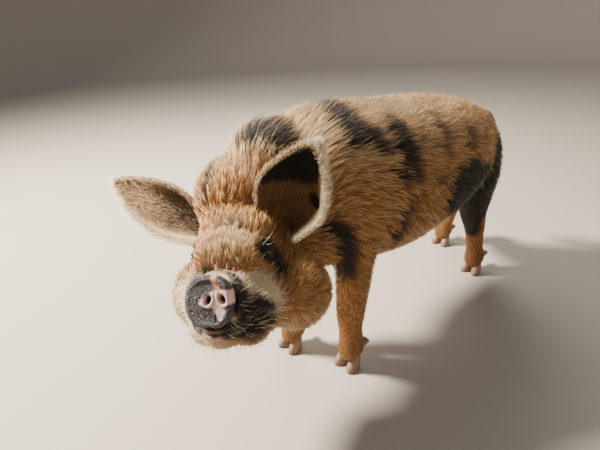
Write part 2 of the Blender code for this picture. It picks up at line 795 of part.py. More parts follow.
def mouth(head):
    """A lip above and below the line of the mouth, from one corner round the front to the other."""
    surface = surface_of(head)
    hits = []
    for k in range(MOUTH_STEPS + 1):
        share = 2 * k / MOUTH_STEPS - 1
        angle = share * MOUTH_REACH
        start = head_point(0, MOUTH_MIDDLE.y, MOUTH_MIDDLE.z + MOUTH_RISE * share * share)
        way = HEAD_BASIS @ Vector((math.sin(angle), -math.cos(angle), 0))
        hit, _, _, _ = surface.ray_cast(start, way)
        hits.append((hit, 1 - 0.55 * abs(share) ** 3))
    lips = [(*(hit - front_of(hit) * 0.002), LIP * fade, LIP * fade) for hit, fade in hits]
    line = [(*(hit + front_of(hit) * 0.004), LIP * 0.9 * fade, MOUTH_LINE * fade)
            for hit, fade in hits]
    boolean(head, sweep_along(lips, "lips"), "UNION")
    boolean(head, sweep_along(line, "mouth_line"), "DIFFERENCE")
    return keep_largest(head)


def front_of(place):
    """Level, outwards from the middle of the muzzle."""
    middle = head_point(0, MOUTH_MIDDLE.y, 0)
    up = HEAD_BASIS @ Vector((0, 0, 1))
    away = place - middle
    return (away - up * away.dot(up)).normalized()


def sweep_along(rows, name):
    """A tube through points on the muzzle: its width lies outwards, its depth up and down."""
    up = HEAD_BASIS @ Vector((0, 0, 1))
    bm = bmesh.new()
    loops = []
    for x, y, z, out, deep in rows:
        here = Vector((x, y, z))
        outward = front_of(here)
        loops.append([bm.verts.new(here + outward * out * c + up * deep * s)
                      for c, s in ((1, 0), (0.5, 0.87), (-0.5, 0.87), (-1, 0), (-0.5, -0.87),
                                   (0.5, -0.87))])
    for a, b in zip(loops, loops[1:]):
        for k in range(6):
            bm.faces.new((a[k], a[(k + 1) % 6], b[(k + 1) % 6], b[k]))
    bm.faces.new(loops[0])
    bm.faces.new(loops[-1])
    bmesh.ops.triangulate(bm, faces=bm.faces)
    return from_bmesh(name, bm, CUTTERS)


def eyelids(frame):
    """One closed rim round the eye's opening, thicker above than below."""
    bm = bmesh.new()
    steps = 16
    sides = 6
    loops = []
    for k in range(steps):
        angle = 2 * math.pi * k / steps
        outward = Vector((math.cos(angle), math.sin(angle), 0))
        upper = max(math.sin(angle), 0)
        thick = 0.0034 + 0.0016 * upper
        middle = Vector((EYE_RADIUS * 1.28 * outward.x, EYE_RADIUS * 0.80 * outward.y,
                         EYE_RADIUS * 0.55 + 0.0012 * upper))
        loop = []
        for j in range(sides):
            turn = 2 * math.pi * j / sides
            offset = outward * math.cos(turn) + Vector((0, 0, 1)) * math.sin(turn)
            loop.append(bm.verts.new(middle + offset * thick))
        loops.append(loop)
    for k in range(steps):
        a, b = loops[k], loops[(k + 1) % steps]
        for j in range(sides):
            bm.faces.new((a[j], a[(j + 1) % sides], b[(j + 1) % sides], b[j]))
    bm.transform(frame)
    return from_bmesh("eyelids", bm, CUTTERS)


def eyes(head):
    """Each eyeball in a socket, under an upper and a lower lid."""
    for side, name in ((1, "eye_left"), (-1, "eye_right")):
        place = Vector((side * EYE_PLACE.x, EYE_PLACE.y, EYE_PLACE.z))
        centre = head_point(*place)
        out = (HEAD_BASIS @ Vector((side * 0.72, -0.66, 0.22))).normalized()
        across = (HEAD_BASIS @ Vector((0, 0, 1))).cross(out).normalized()
        up = out.cross(across).normalized()
        frame = Matrix((across, up, out)).transposed().to_4x4()
        frame.translation = centre
        boolean(head, eyelids(frame), "UNION")
        socket = ellipsoid("socket", (0, 0, 0), (EYE_RADIUS + GAP,) * 3, frame,
                           segments=20, rings=14, collection=CUTTERS)
        boolean(head, socket, "DIFFERENCE")
        ball = ellipsoid(name, (0, 0, 0), (EYE_RADIUS,) * 3, frame, segments=14, rings=8)
        finish_piece(ball, name, EYE)
    keep_largest(head)


def cut_square(obj, point, normal):
    """Remove what lies beyond a plane, on the side that normal points to, with a large block."""
    reach = 1.0
    bm = bmesh.new()
    bmesh.ops.create_cube(bm, size=2 * reach)
    turn = normal.to_track_quat("Z", "Y").to_matrix().to_4x4()
    bm.transform(Matrix.Translation(point + normal * reach) @ turn)
    return boolean(obj, from_bmesh("block", bm, CUTTERS), "DIFFERENCE")


def trim_to_cuts(torso, neck_piece, head):
    """Part torso, neck and head, locks and all, by thin plane cuts."""
    half_gap = GAP / 2
    cut_square(head, HEAD_CUT - HEAD_CUT_NORMAL * half_gap, HEAD_CUT_NORMAL)
    cut_square(torso, SHOULDER_CUT + SHOULDER_CUT_NORMAL * half_gap, -SHOULDER_CUT_NORMAL)
    cut_square(torso, Vector((0, 0, LEG_TOP + half_gap)), Vector((0, 0, -1)))
    cut_square(neck_piece, SHOULDER_CUT - SHOULDER_CUT_NORMAL * half_gap, SHOULDER_CUT_NORMAL)
    cut_square(neck_piece, HEAD_CUT + HEAD_CUT_NORMAL * half_gap, -HEAD_CUT_NORMAL)
    for piece in (torso, neck_piece, head):
        tidied(keep_largest(piece))


def main():
    torso, neck_piece, head, legs = make_body(CORE_DEPTH)
    grow(torso, torso_roots, lie_on_body, BODY_LOCK, LOCK_RISE)
    grow(neck_piece, neck_roots, lie_on_body, BODY_LOCK, LOCK_RISE)
    grow(head, head_roots, lie_on_head, HEAD_LOCK, LOCK_RISE * 0.7)
    trim_to_cuts(torso, neck_piece, head)
    mouth(head)
    eyes(head)
    snout_disc(head)
    front = HEAD_BASIS @ Vector((0, -1, 0))
    ear("ear_left", head_point(*EAR_LEFT_ROOT), HEAD_BASIS @ EAR_LEFT_AXIS, front,
        EAR_LEFT_SIZE, head)
    ear("ear_right", head_point(*EAR_RIGHT_ROOT), HEAD_BASIS @ EAR_RIGHT_AXIS, front,
        EAR_RIGHT_SIZE, head)
    tail(torso)
    finish_piece(torso, "torso", GINGER_COAT)
    finish_piece(neck_piece, "neck", GINGER_COAT)
    finish_piece(head, "head", CREAM_COAT)
    for name, leg in legs.items():
        is_front = name.startswith("front")
        finish_piece(leg, "leg_" + name, GINGER_COAT)
        for side, word in ((1, "left"), (-1, "right")):
            hoof(f"hoof_{name}_{word}", FEET[name], side, is_front)
            dewclaw(f"dewclaw_{name}_{word}", FEET[name], side, leg, 0.037)
    for obj in PIG.objects:
        obj.data.transform(Matrix.Translation(SHIFT))


main()
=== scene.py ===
# %% [markdown]
# # A kunekune pig, standing and looking up
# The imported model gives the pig's pieces at their real size. This lesson dresses them: one skin
# over all the flesh, a bristly coat grown on it, and a snout, ears, eyes and hooves of their own.

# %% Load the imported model
import math

import bmesh
import bpy
import numpy as np
from mathutils import Matrix, Vector, noise
from mathutils.bvhtree import BVHTree
from mathutils.kdtree import KDTree


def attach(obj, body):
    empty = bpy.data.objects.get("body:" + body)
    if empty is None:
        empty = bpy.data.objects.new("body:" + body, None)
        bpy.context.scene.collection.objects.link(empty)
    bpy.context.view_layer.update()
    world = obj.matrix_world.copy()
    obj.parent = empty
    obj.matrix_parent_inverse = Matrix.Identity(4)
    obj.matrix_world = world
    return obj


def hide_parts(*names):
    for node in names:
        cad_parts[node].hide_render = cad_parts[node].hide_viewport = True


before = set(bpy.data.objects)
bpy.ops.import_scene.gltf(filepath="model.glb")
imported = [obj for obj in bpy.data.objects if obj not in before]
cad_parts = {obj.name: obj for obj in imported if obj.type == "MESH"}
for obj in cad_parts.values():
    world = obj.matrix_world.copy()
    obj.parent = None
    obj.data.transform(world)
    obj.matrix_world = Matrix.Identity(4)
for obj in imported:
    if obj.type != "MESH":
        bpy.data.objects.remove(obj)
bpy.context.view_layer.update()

# %% [markdown]
# ## The pig's own frame
# Its shapes are easiest to give from a point between its feet, and its face in a frame of
# the head alone: x to its left, y from the snout backwards, z up. The solids were moved so that
# their box is centred, and every piece made here takes the same move at the end.

# %% Frames and driving sizes
SHIFT = Vector((0.0165, 0.1309, 0.0))
SNOUT_POINT = Vector((0.155, -0.736, 0.446))
HEAD_TURN = math.radians(36)
HEAD_LIFT = math.radians(25)
HEAD_TILT = math.radians(-6)
HEAD_BASIS = (Matrix.Rotation(HEAD_TURN, 4, "Z") @ Matrix.Rotation(-HEAD_LIFT, 4, "X")
              @ Matrix.Rotation(HEAD_TILT, 4, "Y"))
HEAD_FRAME = Matrix.Translation(SNOUT_POINT) @ HEAD_BASIS
HEAD_AXES = np.array(HEAD_BASIS.to_3x3())
HEAD_CUT = np.array((-0.036, -0.533, 0.483))
HEAD_CUT_NORMAL = np.array((-0.555, 0.823, 0.119))
BACK_TOP = 0.632
BARREL_HALF_WIDTH = 0.176
FEET = {
    "front_left": Vector((0.079, -0.331, 0)),
    "front_right": Vector((-0.079, -0.387, 0)),
    "hind_left": Vector((0.091, 0.301, 0)),
    "hind_right": Vector((-0.091, 0.416, 0)),
}
EYE_PLACE = Vector((0.0655, 0.1060, 0.0610))
ROOT_BODY = "root"


print("head turned", round(math.degrees(HEAD_TURN)), "and lifted",
      round(math.degrees(HEAD_LIFT)), "degrees")


def head_point(x, y, z):
    return HEAD_FRAME @ Vector((x, y, z))


def in_head(points):
    """Places in the head's own frame, for an array of places."""
    return (points - np.array(SNOUT_POINT)) @ HEAD_AXES


def from_eye(local, side):
    """How far places in the head's frame lie from its left (1) or right (-1) eye."""
    eye = np.array((side * EYE_PLACE.x, EYE_PLACE.y, EYE_PLACE.z))
    return np.linalg.norm(local - eye, axis=1)


def ramp(value, low, high):
    """0 below low, 1 above high, smooth between; takes arrays."""
    t = np.clip((value - low) / (high - low), 0, 1)
    return t * t * (3 - 2 * t)


# %% [markdown]
# ## Camera
# The photo was taken from about 0.8 m above the ground, ahead of the pig and to its left, looking
# down. The lens is assumed to be 26 mm. The three axes of the view were set with the four feet on
# the ground, and the upright wires of the fence in the photo stand upright in this view.
# They are given here as one rotation matrix.

# %% Camera
EYE_POINT = Vector((0.6445, -0.9940, 0.8200))
VIEW_RIGHT = Vector((0.68813, 0.72425, -0.04409))
VIEW_UP = Vector((-0.28500, 0.32567, 0.90151))
VIEW_AHEAD = Vector((-0.66728, 0.60779, -0.43051))
PHOTO_WIDTH = 600
PHOTO_HEIGHT = 450
FOCAL_PIXELS = 435
SENSOR = 36

camera_data = bpy.data.cameras.new("photo_view")
camera = bpy.data.objects.new("photo_view", camera_data)
bpy.context.scene.collection.objects.link(camera)
turn = Matrix((VIEW_RIGHT, VIEW_UP, -VIEW_AHEAD)).transposed()
camera.matrix_world = Matrix.Translation(EYE_POINT + SHIFT) @ turn.to_4x4()
camera_data.sensor_fit = "HORIZONTAL"
camera_data.sensor_width = SENSOR
camera_data.lens = SENSOR * FOCAL_PIXELS / PHOTO_WIDTH
camera_data.clip_start = 0.02
bpy.context.scene.camera = camera
print("lens:", round(camera_data.lens, 2), "mm")


def photo_ray(u, v):
    """The direction from the camera through a pixel of the photo."""
    across = (u - PHOTO_WIDTH / 2) / FOCAL_PIXELS
    up = (PHOTO_HEIGHT / 2 - v) / FOCAL_PIXELS
    return (VIEW_AHEAD + VIEW_RIGHT * across + VIEW_UP * up).normalized()


# %% [markdown]
# ## Floor and light
# A museum sets such a model on a pale floor in soft light. A large key lamp stands high on the
# viewer's left, where the sun was, so that the forehead and the back are bright and the near
# flank falls into half shade; a weak fill and a pale world keep the shade open.

# %% Floor and light
def simple_material(name, color, roughness):
    material = bpy.data.materials.new(name)
    material.use_nodes = True
    shader = material.node_tree.nodes["Principled BSDF"]
    shader.inputs["Base Color"].default_value = (*color, 1)
    shader.inputs["Roughness"].default_value = roughness
    return material


def area_lamp(name, place, target, size, watts, color):
    data = bpy.data.lights.new(name, "AREA")
    data.shape = "DISK"
    data.size = size
    data.energy = watts
    data.color = color
    lamp = bpy.data.objects.new(name, data)
    lamp.location = place
    lamp.rotation_euler = (target - place).to_track_quat("-Z", "Y").to_euler()
    bpy.context.scene.collection.objects.link(lamp)
    return lamp


def studio_floor():
    """A level floor that curves up into a wall all round, so that no edge shows behind."""
    profile = [(1.0, 0.0), (FLOOR_RADIUS, 0.0)]
    for step in range(1, 13):
        angle = math.pi / 2 * step / 12
        profile.append((FLOOR_RADIUS + BEND_RADIUS * math.sin(angle),
                        BEND_RADIUS * (1 - math.cos(angle))))
    profile.append((FLOOR_RADIUS + BEND_RADIUS, WALL_TOP))
    bm = bmesh.new()
    loops = []
    for radius, height in profile:
        loops.append([bm.verts.new((radius * math.cos(2 * math.pi * k / 96),
                                    radius * math.sin(2 * math.pi * k / 96), height))
                      for k in range(96)])
    for a, b in zip(loops, loops[1:]):
        for k in range(96):
            bm.faces.new((a[k], b[k], b[(k + 1) % 96], a[(k + 1) % 96]))
    bm.faces.new(loops[0])
    mesh = bpy.data.meshes.new("floor")
    bm.normal_update()
    bm.to_mesh(mesh)
    bm.free()
    mesh.shade_smooth()
    return mesh


FLOOR_RADIUS = 7.0
BEND_RADIUS = 2.0
WALL_TOP = 5.5
floor = bpy.data.objects.new("floor", studio_floor())
bpy.context.scene.collection.objects.link(floor)
floor.data.materials.append(simple_material("pale_floor", (0.47, 0.42, 0.36), 0.85))

MIDDLE = Vector((0.0, 0.0, 0.35))
LAMPS = {  # to the right, ahead and up from the middle, in metres; size, watts and colour
    "key": ((-2.5, 0.55, 2.5), 0.7, 590, (1.0, 0.92, 0.79)),
    "fill": ((2.2, -2.0, 0.8), 2.4, 12, (0.90, 0.94, 1.0)),
    "rim": ((0.0, 2.4, 3.0), 1.6, 60, (1.0, 0.95, 0.88)),
}
for lamp_name, ((right, ahead, high), lamp_size, watts, lamp_color) in LAMPS.items():
    lamp_place = MIDDLE + VIEW_RIGHT * right + VIEW_AHEAD * ahead + Vector((0, 0, high))
    area_lamp(lamp_name, lamp_place, MIDDLE, lamp_size, watts, lamp_color)
world = bpy.data.worlds.new("studio")
bpy.context.scene.world = world
world.use_nodes = True
world.node_tree.nodes["Background"].inputs["Color"].default_value = (0.90, 0.92, 0.95, 1)
world.node_tree.nodes["Background"].inputs["Strength"].default_value = 0.36
print("lamps:", len(LAMPS))

# %% [markdown]
# ## The flesh under the coat
# The trunk, neck, skull and legs of a real pig are one skin over muscles and fat. They could be
# sculpted by hand; here a few lofts and balls from named sizes are melted into one surface with a
# voxel remesh, which gives the soft joins for free, and smoothed. They are close to the solids'
# own forms: over nine tenths of the skin lies inside the solids or within a millimetre of them,
# and half of it lies more than 4.5 mm deep, which leaves room for the coat. It stands up to 14 mm
# outside them at the near cheek, and 9 to 12 mm at the rear flanks, the hams and the crest.

# %% Tools for lofts and balls
def mesh_object(name, bm):
    bm.normal_update()
    bmesh.ops.recalc_face_normals(bm, faces=bm.faces)
    mesh = bpy.data.meshes.new(name)
    bm.to_mesh(mesh)
    bm.free()
    obj = bpy.data.objects.new(name, mesh)
    bpy.context.scene.collection.objects.link(obj)
    return obj


def bake(obj):
    """Replace an object's mesh by its evaluated one and drop its modifiers."""
    bpy.context.view_layer.update()
    graph = bpy.context.evaluated_depsgraph_get()
    baked = bpy.data.meshes.new_from_object(obj.evaluated_get(graph))
    old = obj.data
    obj.modifiers.clear()
    obj.data = baked
    bpy.data.meshes.remove(old)
    return obj


def smooth_rows(rows, count):
    """Rows of numbers along a path, resampled on a smooth curve through all of them."""
    rows = np.array(rows, dtype=float)
    padded = np.vstack([2 * rows[0] - rows[1], rows, 2 * rows[-1] - rows[-2]])
    out = []
    for value in np.linspace(0, len(rows) - 1, count):
        at = min(int(value), len(rows) - 2)
        t = value - at
        a, b, c, d = padded[at:at + 4]
        out.append(0.5 * (2 * b + (c - a) * t + (2 * a - 5 * b + 4 * c - d) * t * t
                          + (3 * b - a - 3 * c + d) * t ** 3))
    return out


def superellipse(angle, power):
    c, s = math.cos(angle), math.sin(angle)
    return (math.copysign(abs(c) ** (2 / power), c), math.copysign(abs(s) ** (2 / power), s))


def bridge(bm, loops, closed_ends=True):
    """Faces between neighbouring rings of corners, and over the first and the last."""
    for a, b in zip(loops, loops[1:]):
        for k in range(len(a)):
            bm.faces.new((a[k], a[(k + 1) % len(a)], b[(k + 1) % len(a)], b[k]))
    if closed_ends:
        bm.faces.new(loops[0])
        bm.faces.new(loops[-1])


def sweep(name, rows, side=(1, 0, 0), sides=28, rings=28, power=2.0, sag=0.0):
    """A closed body through rows of x, y, z, half width along side, and half depth across it."""
    rows = smooth_rows(rows, rings)
    side = Vector(side)
    last_up = Vector((0, 0, 1))
    bm = bmesh.new()
    loops = []
    for index, row in enumerate(rows):
        here = Vector(row[:3])
        before = Vector(rows[max(index - 1, 0)][:3])
        after = Vector(rows[min(index + 1, len(rows) - 1)][:3])
        along = (after - before).normalized()
        across = (side - along * side.dot(along)).normalized()
        up = across.cross(along).normalized()
        if up.dot(last_up) < 0:
            up = -up
        last_up = up
        loop = []
        for k in range(sides):
            c, s = superellipse(2 * math.pi * k / sides, power)
            width = max(row[3], 0.001) * (1 - sag * s)
            loop.append(bm.verts.new(here + across * width * c + up * max(row[4], 0.001) * s))
        loops.append(loop)
    bridge(bm, loops)
    return mesh_object(name, bm)


def ball(name, centre, radii, place=Matrix.Identity(4), turned=Matrix.Identity(4),
         segments=32, rings=20):
    bm = bmesh.new()
    bmesh.ops.create_uvsphere(bm, u_segments=segments, v_segments=rings, radius=1)
    bm.transform(place @ Matrix.Translation(Vector(centre)) @ turned @ Matrix.Diagonal((*radii, 1)))
    return mesh_object(name, bm)


# %% [markdown]
# ### The forms of the flesh
# The trunk is a loft through eleven sections, the skull another in the head's own frame, and each
# leg one from its top down into the hooves. Balls fill out jowls, brows, crest and hams. They could
# be sculpted, but sections are quicker to correct, because each number in them is a size.

# %% Trunk, neck, skull and legs
def trunk():
    wide = BARREL_HALF_WIDTH
    sections = [
        (-0.455, 0.50, 0.40, 0.050), (-0.430, 0.575, 0.345, 0.105),
        (-0.370, BACK_TOP + 0.005, 0.310, 0.140), (-0.270, BACK_TOP + 0.005, 0.290, 0.160),
        (-0.140, BACK_TOP - 0.003, 0.270, wide), (0.020, BACK_TOP - 0.013, 0.285, wide - 0.004),
        (0.140, BACK_TOP - 0.032, 0.308, 0.158), (0.240, BACK_TOP - 0.060, 0.325, 0.132),
        (0.320, BACK_TOP - 0.098, 0.345, 0.104), (0.375, BACK_TOP - 0.145, 0.370, 0.072),
        (0.405, BACK_TOP - 0.190, 0.395, 0.036),
    ]
    rows = [(0, y, (top + low) / 2, half, (top - low) / 2) for y, top, low, half in sections]
    return [sweep("trunk", rows, rings=60, sides=48, power=2.25, sag=0.06)]


def neck():
    rows = [
        (0, -0.24, 0.462, 0.140, 0.155), (0, -0.36, 0.462, 0.134, 0.160),
        (-0.008, -0.44, 0.452, 0.116, 0.148), (-0.014, -0.51, 0.436, 0.098, 0.128),
        (-0.002, -0.58, 0.410, 0.080, 0.098),
    ]
    tip_down = Matrix.Rotation(math.radians(-14), 4, "X")
    return [sweep("throat", rows, rings=30, sides=36, power=2.2),
            ball("crest", (-0.020, -0.440, 0.550), (0.074, 0.120, 0.082), turned=tip_down),
            ball("poll", (-0.022, -0.545, 0.508), (0.074, 0.088, 0.084))]


def skull():
    sections = [
        (0.004, 0.036, -0.038, 0.033), (0.030, 0.040, -0.052, 0.039),
        (0.060, 0.048, -0.066, 0.049), (0.085, 0.064, -0.077, 0.062),
        (0.110, 0.096, -0.083, 0.075), (0.140, 0.122, -0.087, 0.085),
        (0.180, 0.138, -0.088, 0.093), (0.230, 0.144, -0.088, 0.099),
        (0.280, 0.136, -0.082, 0.100), (0.315, 0.105, -0.052, 0.070),
    ]
    rows = [(0, y, (top + low) / 2, half, (top - low) / 2) for y, top, low, half in sections]
    body = sweep("skull", rows, rings=50, sides=44, power=2.2, sag=0.10)
    body.data.transform(HEAD_FRAME)
    pieces = [body, ball("forehead", (0, 0.150, 0.092), (0.070, 0.058, 0.058), HEAD_FRAME),
              ball("chin", (0, 0.044, -0.058), (0.032, 0.034, 0.024), HEAD_FRAME)]
    swellings = {
        "jowl": ((0.076, 0.185, -0.012), (0.061, 0.092, 0.066)),
        "jaw": ((0.034, 0.084, -0.052), (0.034, 0.054, 0.035)),
        "cheek": ((0.050, 0.112, -0.020), (0.040, 0.052, 0.050)),
        "brow": ((0.044, 0.114, 0.074), (0.034, 0.024, 0.020)),
        "muzzle": ((0.020, 0.032, 0.000), (0.028, 0.038, 0.036)),
    }
    for name, ((x, y, z), radii) in swellings.items():
        for side in (1, -1):
            pieces.append(ball(name, (side * x, y, z), radii, HEAD_FRAME))
    pieces.append(ball("full_cheek", (0.092, 0.190, -0.016), (0.064, 0.090, 0.068), HEAD_FRAME))
    pieces.append(ball("nape", (0, 0.200, 0.096), (0.076, 0.080, 0.064), HEAD_FRAME))
    return pieces


def front_leg(foot):
    side = math.copysign(1, foot.x)
    reach = foot.y - FEET["front_left"].y
    rows = [
        (side * 0.088, -0.310, 0.440, 0.050, 0.070),
        (side * 0.088, -0.322 + reach * 0.10, 0.350, 0.046, 0.050),
        (side * 0.086, -0.324 + reach * 0.30, 0.270, 0.038, 0.041),
        (side * 0.082, -0.326 + reach * 0.70, 0.195, 0.034, 0.036),
        (side * 0.078, foot.y + 0.006 - reach * 0.10, 0.150, 0.031, 0.034),
        (foot.x, foot.y + 0.006, 0.105, 0.026, 0.029),
        (foot.x, foot.y + 0.010, 0.066, 0.031, 0.033),
        (foot.x, foot.y + 0.003, 0.038, 0.030, 0.031),
        (foot.x, foot.y - 0.001, 0.020, 0.029, 0.030),
    ]
    return [sweep("leg", rows, rings=60, sides=30, power=2.15),
            ball("shoulder", (side * 0.092, -0.320, 0.440), (0.062, 0.078, 0.120))]


def hind_leg(foot):
    side = math.copysign(1, foot.x)
    reach = foot.y - FEET["hind_left"].y
    rows = [
        (side * 0.080, 0.235, 0.450, 0.054, 0.095),
        (side * 0.086, 0.245 + reach * 0.20, 0.370, 0.056, 0.088),
        (side * 0.084, 0.262 + reach * 0.45, 0.290, 0.045, 0.062),
        (side * 0.078, 0.284 + reach * 0.80, 0.225, 0.035, 0.044),
        (side * 0.078, foot.y + 0.004 + reach * 0.2, 0.178, 0.030, 0.037),
        (side * 0.082, foot.y + 0.008 + reach * 0.1, 0.130, 0.026, 0.030),
        (side * 0.087, foot.y + 0.008, 0.090, 0.026, 0.028),
        (foot.x, foot.y + 0.008, 0.062, 0.031, 0.032),
        (foot.x, foot.y + 0.003, 0.038, 0.030, 0.031),
        (foot.x, foot.y - 0.001, 0.020, 0.029, 0.030),
    ]
    return [sweep("leg", rows, rings=60, sides=30, power=2.15),
            ball("ham", (side * 0.074, 0.245 + reach * 0.20, 0.410), (0.066, 0.100, 0.115))]


# %% [markdown]
# ### One skin
# The forms overlap. A union would keep every crease between them, so a voxel remesh takes their
# common outside, and a smoothing rounds the joins. The skin is then thinned, so that the coat can
# be grown on a light mesh.

# %% One skin over all of it
SKIN_VOXEL = 0.004
SKIN_SMOOTHING = 42
SKIN_TRIANGLES = 96000

pieces = trunk() + neck() + skull()
for foot_name, foot_place in FEET.items():
    pieces += (front_leg if foot_name.startswith("front") else hind_leg)(foot_place)
bm = bmesh.new()
for piece in pieces:
    bm.from_mesh(piece.data)
    bpy.data.objects.remove(piece, do_unlink=True)
skin = mesh_object("skin", bm)
remesh = skin.modifiers.new("remesh", "REMESH")
remesh.mode = "VOXEL"
remesh.voxel_size = SKIN_VOXEL
relax = skin.modifiers.new("relax", "SMOOTH")
relax.factor = 0.5
relax.iterations = SKIN_SMOOTHING
bake(skin)
thin = skin.modifiers.new("thin", "DECIMATE")
thin.ratio = min(1, SKIN_TRIANGLES / 2 / len(skin.data.polygons))
bake(skin)
print("skin:", len(skin.data.vertices), "corners", len(skin.data.polygons), "faces")

# %% [markdown]
# ## Folds of the face
# A kunekune's short nose pushes the skin into rolls: one across the bridge of the snout and one
# between the brows, and loose skin in rings round deep-set eyes. They could be painted as bump,
# but the light rakes over them, so the skin's own corners are moved along their normals.

# %% Folds
def places_of(obj):
    out = np.empty(len(obj.data.vertices) * 3, np.float32)
    obj.data.vertices.foreach_get("co", out)
    return out.reshape(-1, 3).astype(float)


def normals_of(obj):
    out = np.empty(len(obj.data.vertices) * 3, np.float32)
    obj.data.vertices.foreach_get("normal", out)
    return out.reshape(-1, 3).astype(float)


def bell(value, middle, width):
    return np.exp(-((value - middle) / width) ** 2)


BRIDGE_CREASE = 0.058
PAD_CREASE = 0.031
BRIDGE_FOLD = 0.0085
BROW_FOLD = 0.0035
SOCKET_DEPTH = 0.0045
SEAT_BACK = 0.0145
SEAT_HALF_WIDTH = 0.040
SEAT_HALF_HEIGHT = 0.043

points = places_of(skin)
here = in_head(points)
x, y, z = here.T
upper = ramp(z, 0.030, 0.045) * (1 - ramp(np.abs(x), 0.035, 0.060))
move = -BRIDGE_FOLD * bell(y, BRIDGE_CREASE, 0.0048) * upper
move += 0.0070 * bell(y, BRIDGE_CREASE + 0.014, 0.0085) * upper
move += 0.0022 * bell(y, BRIDGE_CREASE - 0.014, 0.0060) * upper
move += -0.0030 * bell(y, PAD_CREASE, 0.0030) * upper
brow_line = 0.112 - 0.35 * np.abs(x)
between = (1 - ramp(np.abs(x), 0.030, 0.055)) * ramp(z, 0.05, 0.07) * (1 - ramp(y, 0.15, 0.17))
move += -BROW_FOLD * bell(z, brow_line, 0.0065) * between
for side in (1, -1):
    away = from_eye(here, side)
    move += -SOCKET_DEPTH * bell(away, 0.010, 0.012) + 0.0016 * bell(away, 0.026, 0.004)
    move += -0.0012 * bell(away, 0.033, 0.003)
points += normals_of(skin) * move[:, None]
seat = (np.abs(x) / SEAT_HALF_WIDTH) ** 2.25 + (np.abs(z) / SEAT_HALF_HEIGHT) ** 2.25 < 1
seat = seat & (y < SEAT_BACK)
points += (seat * (SEAT_BACK - y))[:, None] * HEAD_AXES[:, 1][None, :]
for foot in FEET.values():
    near = np.linalg.norm(points[:, :2] - np.array(foot)[:2], axis=1) < 0.06
    narrow = np.where(near, 0.36 * ramp(-points[:, 2], -0.050, -0.024), 0)
    points[:, :2] += (np.array(foot)[:2] - points[:, :2]) * narrow[:, None]
skin.data.vertices.foreach_set("co", points.astype(np.float32).ravel())
skin.data.update()
print("deepest fold:", round(float(-move.min()) * 1000, 1), "mm")

# %% [markdown]
# ## An unwrap of the skin
# Each tuft gets a small patch at its root's place on a flat map of the skin, where the coat's
# colours can be baked. Islands cut by angle are enough for that, so the smart unwrap does it.

# %% Unwrap
MAP_NAME = "OFBake"


def unwrap(obj):
    bpy.ops.object.select_all(action="DESELECT")
    obj.select_set(True)
    bpy.context.view_layer.objects.active = obj
    obj.data.uv_layers.new(name=MAP_NAME)
    bpy.ops.object.mode_set(mode="EDIT")
    bpy.ops.mesh.select_all(action="SELECT")
    bpy.ops.uv.smart_project(angle_limit=math.radians(66), island_margin=0.002)
    bpy.ops.object.mode_set(mode="OBJECT")


def tree_of(obj):
    bm = bmesh.new()
    bm.from_mesh(obj.data)
    tree = BVHTree.FromBMesh(bm)
    bm.free()
    return tree


unwrap(skin)
skin_tree = tree_of(skin)
print("map of the skin:", len(skin.data.uv_layers[MAP_NAME].data), "corners")

# %% [markdown]
# ## Markings
# This pig is ginger with black patches, a cream muzzle and cream ear rims. Each black patch is a
# chain of points named by their pixels in the photo, sent from the camera onto the skin, with a
# radius in metres at each. A place's blackness is how far inside the nearest chain it lies, its
# edge broken by noise. The side that the photo doesn't show gets patches of the same kind.

# %% Where the patches lie
SEEN_PATCHES = {
    "crest": [(248, 140, 0.026), (262, 134, 0.034), (276, 146, 0.026)],
    "shoulder_band": [(312, 112, 0.024), (330, 120, 0.034), (342, 134, 0.036), (360, 141, 0.026),
                      (378, 149, 0.015)],
    "back_stripe": [(381, 124, 0.018), (394, 139, 0.028), (404, 155, 0.028), (410, 170, 0.017)],
    "rib_spot": [(393, 168, 0.014), (399, 180, 0.012)],
    "loin_spot": [(413, 142, 0.012)],
    "loin_stripe": [(427, 118, 0.014), (439, 136, 0.020), (442, 153, 0.016)],
    "hip_spot": [(435, 178, 0.012)],
    "rump_spot": [(466, 134, 0.024), (466, 144, 0.020)],
    "flank_stripe": [(408, 198, 0.011), (401, 210, 0.015), (394, 226, 0.016), (388, 243, 0.012)],
    "thigh": [(466, 176, 0.056), (472, 188, 0.072), (468, 208, 0.058), (470, 228, 0.034)],
    "thigh_front": [(456, 170, 0.022), (452, 186, 0.036), (450, 199, 0.034), (462, 214, 0.040)],
    "thigh_middle": [(483, 168, 0.028), (487, 186, 0.028), (482, 202, 0.028)],
    "thigh_back": [(492, 160, 0.020), (492, 180, 0.030), (484, 206, 0.034)],
    "upper_foreleg": [(326, 227, 0.013), (338, 234, 0.022), (343, 252, 0.023), (344, 268, 0.019)],
    "eye_patch": [(260, 247, 0.013), (268, 248, 0.018), (273, 259, 0.020), (279, 272, 0.011)],
    "right_eye": [(192, 249, 0.011), (191, 258, 0.009)],
    "forehead_streak": [(210, 172, 0.007), (209, 184, 0.009), (207, 198, 0.008)],
    "brow_shade": [(222, 228, 0.008), (238, 228, 0.011)],
    "nose_side": [(238, 290, 0.014), (243, 304, 0.022), (258, 306, 0.018), (272, 305, 0.009)],
    "under_lip": [(226, 330, 0.010), (240, 326, 0.020), (258, 322, 0.022), (268, 318, 0.014)],
    "under_snout": [(204, 324, 0.007), (214, 327, 0.011), (228, 326, 0.012)],
    "jaw_shade": [(252, 338, 0.014), (262, 330, 0.016)],
    "snout_rim": [(190, 284, 0.007), (200, 275, 0.007), (214, 271, 0.007), (228, 272, 0.009),
                  (237, 280, 0.012)],
}
